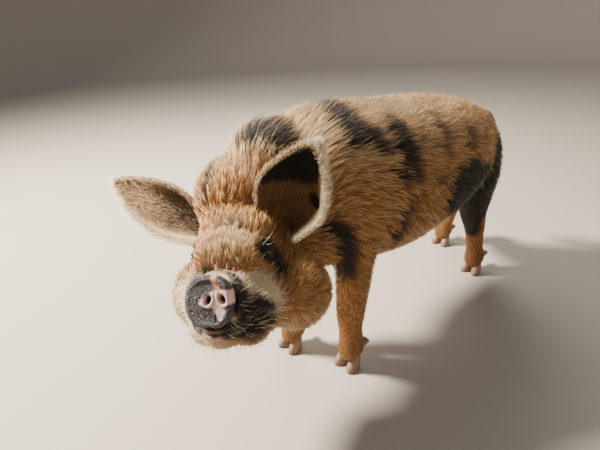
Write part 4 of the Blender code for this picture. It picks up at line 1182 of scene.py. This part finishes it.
for node, (ear, facts) in ears.items():
    root, normal, spots = roots_on(ear, EAR_TUFTS, lambda p, n: np.ones(len(p)), draw)
    nearest = KDTree(len(ear.data.vertices))
    for k, corner in enumerate(ear.data.vertices):
        nearest.insert(corner.co, k)
    nearest.balance()
    own = np.array([nearest.find(p)[1] for p in root])
    share, across = facts["shares"][own].T
    front = normal @ facts["facing"] > 0
    lie = unit(facts["axis"] + facts["side"] * (across * 0.7)[:, None])
    lie = unit(lie - normal * np.sum(lie * normal, axis=1)[:, None])
    lie = swept(lie, normal, root, 0.35, draw)
    length = EAR_HAIR * (0.7 + 0.6 * draw.random(len(root))) * (0.8 + 0.3 * ramp(share, 0.5, 1.0))
    rise = length * np.where(front, 0.34, 0.20)
    bend = root + lie * (length * 0.5)[:, None] + normal * (rise * 0.7)[:, None]
    tip = root + lie * length[:, None] + normal * rise[:, None]
    black, cream, tone = facts["marks_of"](share, across, front)
    streaks = wobble(root, 70, 8) + 0.6 * draw.standard_normal(len(root))
    tone = np.clip(tone + 0.22 * streaks, 0, 1)
    black = np.where(black > 0.9, black, np.clip(black - 0.22 * streaks * front, 0, 1))
    marks = np.stack([black, cream, tone], axis=1)
    flat_hair = tuft_mesh(ear.name + "_hair", root - normal * 0.0008, bend, tip, normal,
                          width_of_tuft(length), marks, spots, BRISTLE_MATERIAL)
    share, across = facts["shares"].T
    edge_weight = ((np.abs(across) > 0.93) | (share > 0.94)) * np.where(
        across * facts["thick_edge"] > 0, 1.0, 0.30)
    pick = draw.choice(len(share), FRINGE_TUFTS, p=edge_weight / edge_weight.sum())
    corners = places_of(ear)
    start = corners[pick] + draw.standard_normal((FRINGE_TUFTS, 3)) * 0.0012
    share, across = facts["shares"][pick].T
    outward = facts["side"] * (np.sign(across) * (1 - ramp(share, 0.85, 1.0)))[:, None]
    way = unit(outward * 0.8 + facts["axis"] * (0.55 + 0.4 * draw.random(FRINGE_TUFTS))[:, None]
               + facts["facing"] * (0.45 * draw.standard_normal(FRINGE_TUFTS))[:, None])
    length = FRINGE_HAIR * (0.45 + 0.65 * draw.random(FRINGE_TUFTS))
    length = length * np.where(across * facts["thick_edge"] > 0, 1.0, 0.6)
    bend, tip = free_tufts(start, way, facts["axis"] * 0.5, length)
    pale = np.stack([0.0 * share, 0.75 + 0.25 * draw.random(FRINGE_TUFTS),
                     np.clip(0.72 + 0.2 * draw.standard_normal(FRINGE_TUFTS), 0, 1)], axis=1)
    first_uv = np.zeros((len(ear.data.vertices), 2))
    flat = np.empty(len(ear.data.loops) * 2, np.float32)
    ear.data.uv_layers[MAP_NAME].data.foreach_get("uv", flat)
    loop_corner = np.empty(len(ear.data.loops), np.int32)
    ear.data.loops.foreach_get("vertex_index", loop_corner)
    first_uv[loop_corner] = flat.reshape(-1, 2)
    fringe = tuft_mesh(ear.name + "_fringe", start, bend, tip,
                       unit(np.tile(facts["facing"], (FRINGE_TUFTS, 1))),
                       np.full(FRINGE_TUFTS, 0.0008), pale, first_uv[pick], BRISTLE_MATERIAL)
    for piece in (ear, flat_hair, fringe):
        coat.append(piece)
    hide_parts(node)
    print(ear.name, len(root), "hairs", FRINGE_TUFTS, "in the fringe")

# %% [markdown]
# ## Snout
# The nose is a soft, slightly turned pad with a rounded rim, a groove and two nostrils. A polar
# grid whose depth is a formula gives all of that in one sheet. Its dark skin has lost its colour
# in a pink patch round the nostrils, drawn like the coat's patches as chains seen in the photo.

# %% Snout pad
PAD_HALF_WIDTH = 0.0375
PAD_HALF_HEIGHT = 0.0405
PAD_FRONT = -0.012
PAD_BACK = 0.018
PAD_RINGS = 54
PAD_SPOKES = 132
NOSTRILS = [(0.0010, 0.0040), (0.0230, 0.0045)]
PINK = [[(202, 303, 0.0050), (208, 302, 0.0095), (216, 297, 0.0105), (226, 298, 0.0115),
         (233, 292, 0.0040)],
        [(217, 301, 0.0120), (219, 311, 0.0085), (220, 319, 0.0030)]]
STREAK = [[(211, 271, 0.0030), (213, 280, 0.0044), (217, 291, 0.0040)]]


def on_pad(u, v):
    """Where a pixel of the photo meets the plane of the snout, across and up."""
    way = HEAD_BASIS.inverted().to_3x3() @ photo_ray(u, v)
    start = HEAD_FRAME.inverted() @ EYE_POINT
    spot = start + way * ((PAD_FRONT - start.y) / way.y)
    return np.array((spot.x, 0.0, spot.z))


def chains_on_pad(points, chains, edge):
    depth = np.full(len(points), -1.0)
    for chain in chains:
        stops = [(on_pad(u, v), radius) for u, v, radius in chain]
        depth = np.maximum(depth, inside_chain(points, stops))
    return ramp(depth, -edge, edge)


grid_x, grid_y, grid_z, grid_r = [], [], [], []
for ring in range(PAD_RINGS + 1):
    share = min(ring / (PAD_RINGS - 12), 1)
    behind = max(ring - (PAD_RINGS - 12), 0) / 12
    for spoke in range(PAD_SPOKES):
        angle = 2 * math.pi * spoke / PAD_SPOKES
        c, s = superellipse(angle, 2.25)
        notch = 0.0045 * math.exp(-((angle - 1.5 * math.pi) / 0.20) ** 2) * share ** 4
        soft = 0.14 + 0.30 * max(-c, 0) ** 1.5
        edge = max(share - (1 - soft), 0) / soft
        depth = PAD_FRONT + 0.0075 * (1 - math.sqrt(max(1 - edge * edge, 0)))
        depth += behind * (PAD_BACK - PAD_FRONT - 0.0075)
        size = 1 - 0.10 * behind * behind
        grid_x.append(PAD_HALF_WIDTH * c * share * size)
        grid_y.append(depth)
        grid_z.append((PAD_HALF_HEIGHT * s * share + notch) * size)
        grid_r.append(share)
x, y, z, r = (np.array(values) for values in (grid_x, grid_y, grid_z, grid_r))
flat_part = 1 - ramp(r, 0.80, 1.0)
y += 0.0016 * flat_part - 0.0011 * bell(r, 0.83, 0.08)
pit = np.zeros(len(x))
for place_x, place_z in NOSTRILS:
    turned = (x - place_x) + 0.25 * np.sign(place_x - 0.012) * (z - place_z)
    away = np.hypot(turned / 0.0058, (z - place_z) / 0.0078)
    pit = np.maximum(pit, 1 - ramp(away, 0.45, 1.05))
    y -= 0.0013 * bell(away, 1.35, 0.35)
y += 0.013 * pit
y += 0.0011 * bell(x, 0.0120, 0.0016) * ramp(-z, 0.004, 0.012) * flat_part
spots_of_pad = np.stack([x, 0 * x, z], axis=1)
wrinkle = np.array([noise.noise(Vector((px * 260, 0, pz * 160))) for px, pz in zip(x, z)])
y += 0.00035 * wrinkle
ragged = np.stack([0.0022 * wrinkle, 0 * x, 0.0018 * np.roll(wrinkle, 7)], axis=1)
pink = chains_on_pad(spots_of_pad + ragged, PINK, 0.0016)
streak = chains_on_pad(spots_of_pad + ragged, STREAK, 0.0016)
bm = bmesh.new()
corners = [bm.verts.new(head_point(*place)) for place in zip(x, y, z)]
loops = [corners[k * PAD_SPOKES:(k + 1) * PAD_SPOKES] for k in range(1, PAD_RINGS + 1)]
bridge(bm, loops)
bmesh.ops.delete(bm, geom=corners[:PAD_SPOKES], context="VERTS")
snout = mesh_object("snout_pad", bm)
kept = slice(PAD_SPOKES, None)
# The third number marks the nostril pits, which the material paints near black as shade.
write_marks(snout.data, np.stack([pink[kept], streak[kept], pit[kept], 0.5 + 0.5 * wrinkle[kept]],
                                 axis=1))


bare_group, group_in, group_out = shade_group(
    "bare_skin",
    [("Pink", "NodeSocketFloat", 0.0), ("Streak", "NodeSocketFloat", 0.0),
     ("Painted Shade", "NodeSocketFloat", 0.0), ("Dark Color", "NodeSocketColor", (0, 0, 0, 1)),
     ("Light Color", "NodeSocketColor", (0, 0, 0, 1)),
     ("Pink Color", "NodeSocketColor", (0, 0, 0, 1)),
     ("Streak Color", "NodeSocketColor", (0, 0, 0, 1)), ("Scale", "NodeSocketFloat", 200.0),
     ("Smoothest", "NodeSocketFloat", 0.14)],
    ("Color", "NodeSocketColor"), ("Roughness", "NodeSocketFloat"),
    ("Normal", "NodeSocketVector"))
nodes, links = bare_group.nodes, bare_group.links
place = nodes.new("ShaderNodeTexCoord")
grain = nodes.new("ShaderNodeTexNoise")
grain.inputs["Detail"].default_value = 5
pores = nodes.new("ShaderNodeTexVoronoi")
glints = nodes.new("ShaderNodeTexNoise")
for texture, finer in ((grain, 1.0), (pores, 3.4), (glints, 2.3)):
    links.new(place.outputs["Object"], texture.inputs["Vector"])
    links.new(math_node(nodes, links, "MULTIPLY", group_in.outputs["Scale"], finer),
              texture.inputs["Scale"])
spread = math_node(nodes, links, "MULTIPLY", grain.outputs["Fac"], 3.0)
spread = math_node(nodes, links, "SUBTRACT", spread, 1.0)
spread = math_node(nodes, links, "MINIMUM", spread, 1.0)
base = mix_colors(nodes, links, math_node(nodes, links, "MAXIMUM", spread, 0.0),
                  group_in.outputs["Dark Color"], group_in.outputs["Light Color"])
base = mix_colors(nodes, links, group_in.outputs["Pink"], base, group_in.outputs["Pink Color"])
base = mix_colors(nodes, links, group_in.outputs["Streak"], base,
                  group_in.outputs["Streak Color"])
# Nostrils and the line of the mouth are coloured near black: painted shade in the hollows.
base = mix_colors(nodes, links, group_in.outputs["Painted Shade"], base, (0.020, 0.010, 0.010))
links.new(base, group_out.inputs["Color"])
spread = math_node(nodes, links, "MULTIPLY", glints.outputs["Fac"], 0.5)
links.new(math_node(nodes, links, "ADD", spread, group_in.outputs["Smoothest"]),
          group_out.inputs["Roughness"])
bump = nodes.new("ShaderNodeBump")
bump.inputs["Strength"].default_value = 0.85
bump.inputs["Distance"].default_value = 0.0016
links.new(math_node(nodes, links, "ADD", grain.outputs["Fac"], pores.outputs["Distance"]),
          bump.inputs["Height"])
links.new(bump.outputs["Normal"], group_out.inputs["Normal"])


def skin_material(name, dark, light, pink_color, streak_color, roughness, scale):
    """Bare skin: two dark tones, a pink and an orange patch, black painted shade in the pits, and
    fine pores.
    """
    material = bpy.data.materials.new(name)
    material.use_nodes = True
    nodes, links = material.node_tree.nodes, material.node_tree.links
    shader = nodes["Principled BSDF"]
    marks = nodes.new("ShaderNodeAttribute")
    marks.attribute_name = "marks"
    parts = nodes.new("ShaderNodeSeparateColor")
    links.new(marks.outputs["Color"], parts.inputs["Color"])
    group = nodes.new("ShaderNodeGroup")
    group.node_tree = bare_group
    for label, socket in zip(("Pink", "Streak", "Painted Shade"), parts.outputs):
        links.new(socket, group.inputs[label])
    for label, color in (("Dark Color", dark), ("Light Color", light),
                         ("Pink Color", pink_color), ("Streak Color", streak_color)):
        group.inputs[label].default_value = (*color, 1)
    group.inputs["Scale"].default_value = scale
    group.inputs["Smoothest"].default_value = roughness - 0.22
    for label in ("Roughness", "Normal"):
        links.new(group.outputs[label], shader.inputs[label])
    links.new(group.outputs["Color"], shader.inputs["Base Color"])
    shader.inputs["Subsurface Weight"].default_value = 0.12
    shader.inputs["Subsurface Scale"].default_value = 0.004
    return material


SNOUT_MATERIAL = skin_material("snout_skin", (0.008, 0.006, 0.008), (0.085, 0.072, 0.078),
                               (0.92, 0.60, 0.53), (0.74, 0.34, 0.19), 0.36, 210)
snout.data.materials.append(SNOUT_MATERIAL)
snout.data.shade_smooth()
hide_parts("snout")
coat.append(snout)
print("snout:", len(snout.data.vertices), "corners")

# %% [markdown]
# ## Lips
# The mouth runs from one corner under the snout to the other. Its two rolls and the line
# between them, painted dark as shade, are one strip: a small profile carried along the line on the
# skin.

# %% Lips
LIP_PROFILE = [(-0.0040, 0.0120), (0.0005, 0.0090), (0.0030, 0.0055), (0.0032, 0.0028),
               (0.0005, 0.0008), (-0.0040, 0.0), (0.0005, -0.0008), (0.0036, -0.0030),
               (0.0034, -0.0060), (0.0008, -0.0095), (-0.0040, -0.0125)]
lip_rows = smooth_rows([(*place, fade) for place, fade in zip(mouth_line, mouth_fade)], 90)
bm = bmesh.new()
loops = []
lip_marks = []
head_up = HEAD_BASIS.to_3x3() @ Vector((0, 0, 1))
for row in lip_rows:
    here = Vector(row[:3])
    away = here - head_point(0, MOUTH_MIDDLE.y, 0)
    outward = (away - head_up * away.dot(head_up)).normalized()
    loops.append([bm.verts.new(here + outward * out * row[3] + head_up * up * row[3])
                  for out, up in LIP_PROFILE])
    side_share = in_head(np.array([here]))[0][0]
    rosy = float(1 - ramp(abs(side_share + 0.004), 0.008, 0.020))
    for out, up in LIP_PROFILE:
        # Corners in the middle of the profile get the painted shade of the mouth line.
        lip_marks.append((rosy * (0.8 if up < -0.001 else 0.3), 0.0, float(abs(up) < 0.0009), 0.5))
for a, b in zip(loops, loops[1:]):
    for k in range(len(a) - 1):
        bm.faces.new((a[k], a[k + 1], b[k + 1], b[k]))
lips = mesh_object("lips", bm)
write_marks(lips.data, lip_marks)
LIP_MATERIAL = skin_material("lip_skin", (0.020, 0.013, 0.013), (0.085, 0.055, 0.050),
                             (0.58, 0.30, 0.26), (0.5, 0.25, 0.2), 0.35, 180)
lips.data.materials.append(LIP_MATERIAL)
lips.data.shade_smooth()
coat.append(lips)
print("lips:", len(lips.data.vertices), "corners")

# %% [markdown]
# ## Eyes
# Kunekune eyes are small, dark and almost hidden between folded lids. Each has a wet ball with a
# brown iris and a dark pupil, and a lid sheet that runs from an almond-shaped slit on the
# ball, over two soft folds, down into the skin.

# %% Eyeballs and lids
BALL_RADIUS = 0.0100
BALL_SUNK = 0.0030
SLIT_HALF_WIDTH = 0.0088
SLIT_ABOVE = 0.0034
SLIT_BELOW = 0.0026
LID_REACH = 0.0200
LID_RINGS = 16
LID_SPOKES = 60


def eye_frame(side):
    centre = head_point(side * EYE_PLACE.x, EYE_PLACE.y, EYE_PLACE.z)
    out = (HEAD_BASIS.to_3x3() @ Vector((side * 0.72, -0.66, 0.22))).normalized()
    across = head_up.cross(out).normalized()
    up = out.cross(across).normalized()
    place = Matrix((across, up, out)).transposed().to_4x4()
    place.translation = centre - out * BALL_SUNK
    return place


def eye_material():
    material = bpy.data.materials.new("wet_eye")
    material.use_nodes = True
    nodes, links = material.node_tree.nodes, material.node_tree.links
    shader = nodes["Principled BSDF"]
    marks = nodes.new("ShaderNodeAttribute")
    marks.attribute_name = "marks"
    parts = nodes.new("ShaderNodeSeparateColor")
    links.new(marks.outputs["Color"], parts.inputs["Color"])
    grain = nodes.new("ShaderNodeTexNoise")
    grain.inputs["Scale"].default_value = 700
    iris = mix_colors(nodes, links, grain.outputs["Fac"], (0.030, 0.014, 0.006),
                      (0.16, 0.075, 0.03))
    base = mix_colors(nodes, links, parts.outputs["Red"], (0.32, 0.20, 0.15), iris)
    base = mix_colors(nodes, links, parts.outputs["Green"], base, (0.004, 0.003, 0.003))
    links.new(base, shader.inputs["Base Color"])
    shader.inputs["Roughness"].default_value = 0.06
    shader.inputs["Coat Weight"].default_value = 0.6
    shader.inputs["Coat Roughness"].default_value = 0.03
    return material


EYE_MATERIAL = eye_material()
for side, node in ((1, "eye_left"), (-1, "eye_right")):
    place = eye_frame(side)
    eyeball = ball(node + "_ball", (0, 0, 0), (BALL_RADIUS,) * 3, place, segments=48, rings=32)
    inward = (places_of(eyeball) - np.array(place.translation)) @ np.array(place.to_3x3())
    off_axis = np.hypot(inward[:, 0], inward[:, 1])
    write_marks(eyeball.data, np.stack([1 - ramp(off_axis, 0.0062, 0.0070),
                                        1 - ramp(off_axis, 0.0026, 0.0034),
                                        0 * off_axis, 0 * off_axis], axis=1))
    eyeball.data.materials.append(EYE_MATERIAL)
    eyeball.data.shade_smooth()
    bm = bmesh.new()
    loops = []
    for ring in range(LID_RINGS + 1):
        share = max(ring - 1, 0) / (LID_RINGS - 1)
        loop = []
        for spoke in range(LID_SPOKES):
            angle = 2 * math.pi * spoke / LID_SPOKES
            c, s = math.cos(angle), math.sin(angle)
            slit_x = SLIT_HALF_WIDTH * c
            slit_y = (SLIT_ABOVE if s > 0 else SLIT_BELOW) * s - 0.0012 * side * c
            far_x, far_y = LID_REACH * c, LID_REACH * s
            far = skin_tree.find_nearest(place @ Vector((far_x, far_y, BALL_RADIUS * 0.4)))
            far_place = place.inverted() @ (far[0] - far[1] * 0.0012)
            near_x = slit_x + (far_x - slit_x) * share
            near_y = slit_y + (far_y - slit_y) * share
            shell = BALL_RADIUS + (0.0002 if ring == 0 else 0.0016)
            high = math.sqrt(max(shell ** 2 - near_x ** 2 - near_y ** 2, 0))
            blend = float(ramp(share, 0.05, 0.95))
            fold = 0.0014 * math.sin(math.pi * share) * (1 + 0.9 * max(s, 0))
            fold += 0.0008 * math.cos(2 * math.pi * 2.3 * share) * math.sin(math.pi * share)
            spot = Vector((near_x, near_y, high * (1 - blend) + far_place.z * blend + fold))
            loop.append(bm.verts.new(place @ spot))
        loops.append(loop)
    bridge(bm, loops, closed_ends=False)
    lids = mesh_object(node + "_lids", bm)
    points = places_of(lids)
    black, cream = markings(points)
    ring_of = np.repeat(np.arange(LID_RINGS + 1), LID_SPOKES)
    edge_dark = 1 - ramp(ring_of.astype(float), 1.0, 4.0)
    black = np.maximum(black, 0.85 * edge_dark)
    write_marks(lids.data, np.stack([black, cream, 0.2 + 0 * black, 0.2 + 0 * black], axis=1))
    lids.data.materials.append(SKIN_MATERIAL)
    lids.data.shade_smooth()
    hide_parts(node)
    coat += [eyeball, lids]
    print(eyeball.name, "and lids:", len(lids.data.vertices), "corners")

# %% [markdown]
# ## Hooves and dewclaws
# A pig walks on two toes of each foot; two smaller ones hang behind. Each horn is a lofted
# capsule with a flat sole; growth rings and a darker, dirty edge come from its material.

# %% Horn
CORONET = 0.034
HOOF_RINGS = 22
HOOF_CORNERS = 40


def horn_material():
    material = bpy.data.materials.new("hoof_horn")
    material.use_nodes = True
    nodes, links = material.node_tree.nodes, material.node_tree.links
    shader = nodes["Principled BSDF"]
    place = nodes.new("ShaderNodeTexCoord")
    split = nodes.new("ShaderNodeSeparateXYZ")
    links.new(place.outputs["Object"], split.inputs["Vector"])
    grain = nodes.new("ShaderNodeTexNoise")
    grain.inputs["Scale"].default_value = 130
    grain.inputs["Detail"].default_value = 5
    links.new(place.outputs["Object"], grain.inputs["Vector"])
    height = math_node(nodes, links, "MULTIPLY", split.outputs["Z"], 34.0)
    share = math_node(nodes, links, "ADD", height,
                      math_node(nodes, links, "MULTIPLY", grain.outputs["Fac"], 0.5))
    share = math_node(nodes, links, "MINIMUM", share, 1.0)
    horn = mix_colors(nodes, links, share, (0.09, 0.052, 0.032), (0.34, 0.20, 0.125))
    dirt = math_node(nodes, links, "MULTIPLY", grain.outputs["Fac"], 0.55)
    base = mix_colors(nodes, links, dirt, horn, (0.22, 0.145, 0.09))
    links.new(base, shader.inputs["Base Color"])
    rings = nodes.new("ShaderNodeTexWave")
    rings.bands_direction = "Z"
    rings.inputs["Scale"].default_value = 95
    rings.inputs["Distortion"].default_value = 2.5
    links.new(place.outputs["Object"], rings.inputs["Vector"])
    bump = nodes.new("ShaderNodeBump")
    bump.inputs["Strength"].default_value = 0.35
    bump.inputs["Distance"].default_value = 0.0006
    links.new(math_node(nodes, links, "ADD", rings.outputs["Fac"], grain.outputs["Fac"]),
              bump.inputs["Height"])
    links.new(bump.outputs["Normal"], shader.inputs["Normal"])
    shader.inputs["Roughness"].default_value = 0.55
    return material


HORN_MATERIAL = horn_material()


def toe(name, foot, side, front):
    """One toe's horn: a flat sole, a rounded tip and sides that lean in upwards."""
    length = 0.046 if front else 0.043
    lean = Matrix.Rotation(side * math.radians(11), 4, "Z")
    rows = [(0.0, -0.004, 0.0128, 0.90), (0.0025, -0.004, 0.0150, 1.0),
            (0.010, -0.003, 0.0150, 0.98), (0.022, 0.001, 0.0140, 0.88),
            (CORONET, 0.006, 0.0125, 0.72), (CORONET + 0.006, 0.008, 0.0095, 0.50)]
    bm = bmesh.new()
    loops = []
    for height, slide, half_width, share in smooth_rows(rows, HOOF_RINGS):
        loop = []
        for k in range(HOOF_CORNERS):
            c, s = superellipse(2 * math.pi * k / HOOF_CORNERS, 2.4)
            taper = 1 - 0.22 * max(-s, 0)
            spot = Vector((half_width * c * taper, slide + length / 2 * share * s, max(height, 0)))
            loop.append(bm.verts.new(lean @ spot))
        loops.append(loop)
    bridge(bm, loops)
    bm.transform(Matrix.Translation(foot + Vector((side * 0.0175, -0.002, 0))))
    return mesh_object(name, bm)


def claw(name, foot, side):
    """A blunt horn that hangs behind the pastern."""
    rows = [(0, 0, -0.013, 0.0098, 0.0086), (0, 0.0008, -0.004, 0.0090, 0.0080),
            (0, 0.0012, 0.004, 0.0070, 0.0062), (0, 0.0006, 0.010, 0.0050, 0.0044),
            (0, 0.0, 0.0128, 0.0022, 0.0020)]
    obj = sweep(name, rows, rings=18, sides=24)
    obj.data.transform(Matrix.Translation(foot + Vector((side * 0.018, 0.037, 0.058)))
                       @ Matrix.Rotation(math.radians(118), 4, "X"))
    return obj


for foot_name, foot_place in FEET.items():
    for side, word in ((1, "left"), (-1, "right")):
        horns = {"hoof": toe(f"toe_{foot_name}_{word}", foot_place, side,
                             foot_name.startswith("front")),
                 "dewclaw": claw(f"claw_{foot_name}_{word}", foot_place, side)}
        for kind, horn in horns.items():
            horn.data.materials.append(HORN_MATERIAL)
            horn.data.shade_smooth()
            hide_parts(f"{kind}_{foot_name}_{word}")
            coat.append(horn)
print("horns:", sum(piece.name.startswith(("toe", "claw")) for piece in coat))

# %% [markdown]
# ## Tail
# A kunekune's tail hangs loosely and ends in a switch of long hair. It is a thin tube along the
# same path as the solid, covered like the body, with hair that gets longer towards the tip.

# %% Tail
TAIL_ROWS = [(0.0, 0.385, 0.500, 0.016, 0.016), (0.0, 0.450, 0.500, 0.0140, 0.0140),
             (0.012, 0.482, 0.460, 0.0115, 0.0115), (0.026, 0.480, 0.405, 0.0090, 0.0090),
             (0.014, 0.478, 0.360, 0.0068, 0.0068), (-0.006, 0.490, 0.325, 0.0048, 0.0048),
             (-0.010, 0.505, 0.300, 0.0025, 0.0025)]
TAIL_TUFTS = 6000
tail = sweep("tail_tube", TAIL_ROWS, rings=60, sides=20)
unwrap(tail)


def tail_weight(points, normals):
    return 1 + 2.5 * ramp(-points[:, 2], -0.38, -0.32)


root, normal, spots = roots_on(tail, TAIL_TUFTS, tail_weight, draw)
path = np.array(smooth_rows(TAIL_ROWS, 80))[:, :3]
stop = np.argmin(np.linalg.norm(root[:, None, :] - path[None, :, :], axis=2), axis=1)
along = unit(path[np.minimum(stop + 1, 79)] - path[np.maximum(stop - 1, 0)])
way = unit(along + normal * (0.28 + 0.1 * draw.standard_normal(TAIL_TUFTS))[:, None]
           + 0.12 * draw.standard_normal((TAIL_TUFTS, 3)))
length = (0.014 + 0.034 * ramp(stop / 79, 0.55, 1.0)) * (0.7 + 0.6 * draw.random(TAIL_TUFTS))
bend, tip = free_tufts(root, way, along * 0.4 + np.array((0, 0, -0.5)), length)
dark_end = ramp(stop / 79, 0.50, 0.85) * 0.55
marks = np.stack([dark_end * (draw.random(TAIL_TUFTS) < 0.6), 0.2 + 0 * length,
                  np.clip(0.5 + 0.22 * draw.standard_normal(TAIL_TUFTS), 0, 1)], axis=1)
tail_hair = tuft_mesh("tail_hair", root - normal * 0.0006, bend, tip, normal,
                      np.full(TAIL_TUFTS, 0.0010), marks, spots, BRISTLE_MATERIAL)
points = places_of(tail)
write_marks(tail.data, np.tile((0.1, 0.1, 0.35, 0.25), (len(points), 1)))
tail.data.materials.append(SKIN_MATERIAL)
tail.data.shade_smooth()
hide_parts("tail")
for piece in (tail, tail_hair):
    coat.append(piece)
print("tail:", TAIL_TUFTS, "hairs")

# %% [markdown]
# ## Whiskers and long bristles
# Seven hundred whiskers stand clear on the muzzle, over the eyes and under the chin. Some five
# thousand longer bristles, mostly pale, stand over the trunk and the back of the head, thickest
# along the top. They could be part of the coat, but their lie and length are their own.

# %% Whiskers
WHISKERS = 700
LONG_BRISTLES = 5200


def whisker_weight(points, normals):
    x, y, z = in_head(points).T
    muzzle = (1 - ramp(y, 0.05, 0.10)) * (y > 0.008)
    brow = bell(np.abs(x), 0.055, 0.02) * bell(z, 0.080, 0.02) * (y < 0.16)
    chin = (z < -0.04) * (y < 0.16)
    return np.clip(muzzle + brow + 1.4 * chin, 0, 2)


root, normal, spots = roots_on(skin, WHISKERS, whisker_weight, draw)
lie, _, _ = lie_of_coat(root, normal)
way = unit(lie * 0.8 + normal * (0.75 + 0.2 * draw.standard_normal(WHISKERS))[:, None]
           + 0.25 * draw.standard_normal((WHISKERS, 3)))
length = 0.012 + 0.016 * draw.random(WHISKERS)
bend, tip = free_tufts(root, way, lie * 0.7, length)
marks = np.stack([0.0 + (draw.random(WHISKERS) < 0.15), 0.85 + 0 * length,
                  0.6 + 0.4 * draw.random(WHISKERS)], axis=1)
whiskers = tuft_mesh("whiskers", root, bend, tip, normal, np.full(WHISKERS, 0.00060), marks,
                     spots, BRISTLE_MATERIAL)


def long_weight(points, normals):
    on_body = in_head(points)[:, 1] > 0.12
    high = 0.15 + ramp(points[:, 2], 0.52, 0.62)
    return high * on_body * (points[:, 2] > 0.26)


root, normal, spots = roots_on(skin, LONG_BRISTLES, long_weight, draw)
lie, on_head, on_leg = lie_of_coat(root, normal)
lie = swept(lie, normal, root, 0.7, draw)
length = length_of_coat(root, on_head, on_leg) * (0.9 + 0.4 * draw.random(LONG_BRISTLES))
bend = root + lie * (length * 0.45)[:, None] + normal * (length * 0.22)[:, None]
tip = root + lie * (length * 0.92)[:, None] + normal * (length * 0.34)[:, None]
black, cream = markings(root)
pale = np.clip(0.85 + 0.15 * draw.standard_normal(LONG_BRISTLES), 0, 1)
marks = np.stack([black * (draw.random(LONG_BRISTLES) < 0.8), np.maximum(cream, 0.35), pale],
                 axis=1)
bristles = tuft_mesh("long_bristles", root, bend, tip, normal, np.full(LONG_BRISTLES, 0.00085),
                     marks, spots, BRISTLE_MATERIAL)
coat += [whiskers, bristles]
print("long hairs:", WHISKERS + LONG_BRISTLES)

# %% [markdown]
# ## Into place
# Every piece so far stands in the pig's own frame. It could have been modelled in place, but its
# sizes would be harder to read. Each now takes the same move as the solids, rides on the one
# body, and the skin takes the place of all the solids of flesh.

# %% Skin takes the place of the solids of flesh
skin_pieces = [skin] + coat
for piece in skin_pieces:
    piece.data.transform(Matrix.Translation(SHIFT))
    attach(piece, ROOT_BODY)
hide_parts("torso", "neck", "head", *["leg_" + name for name in FEET])
print("pieces:", len(skin_pieces))
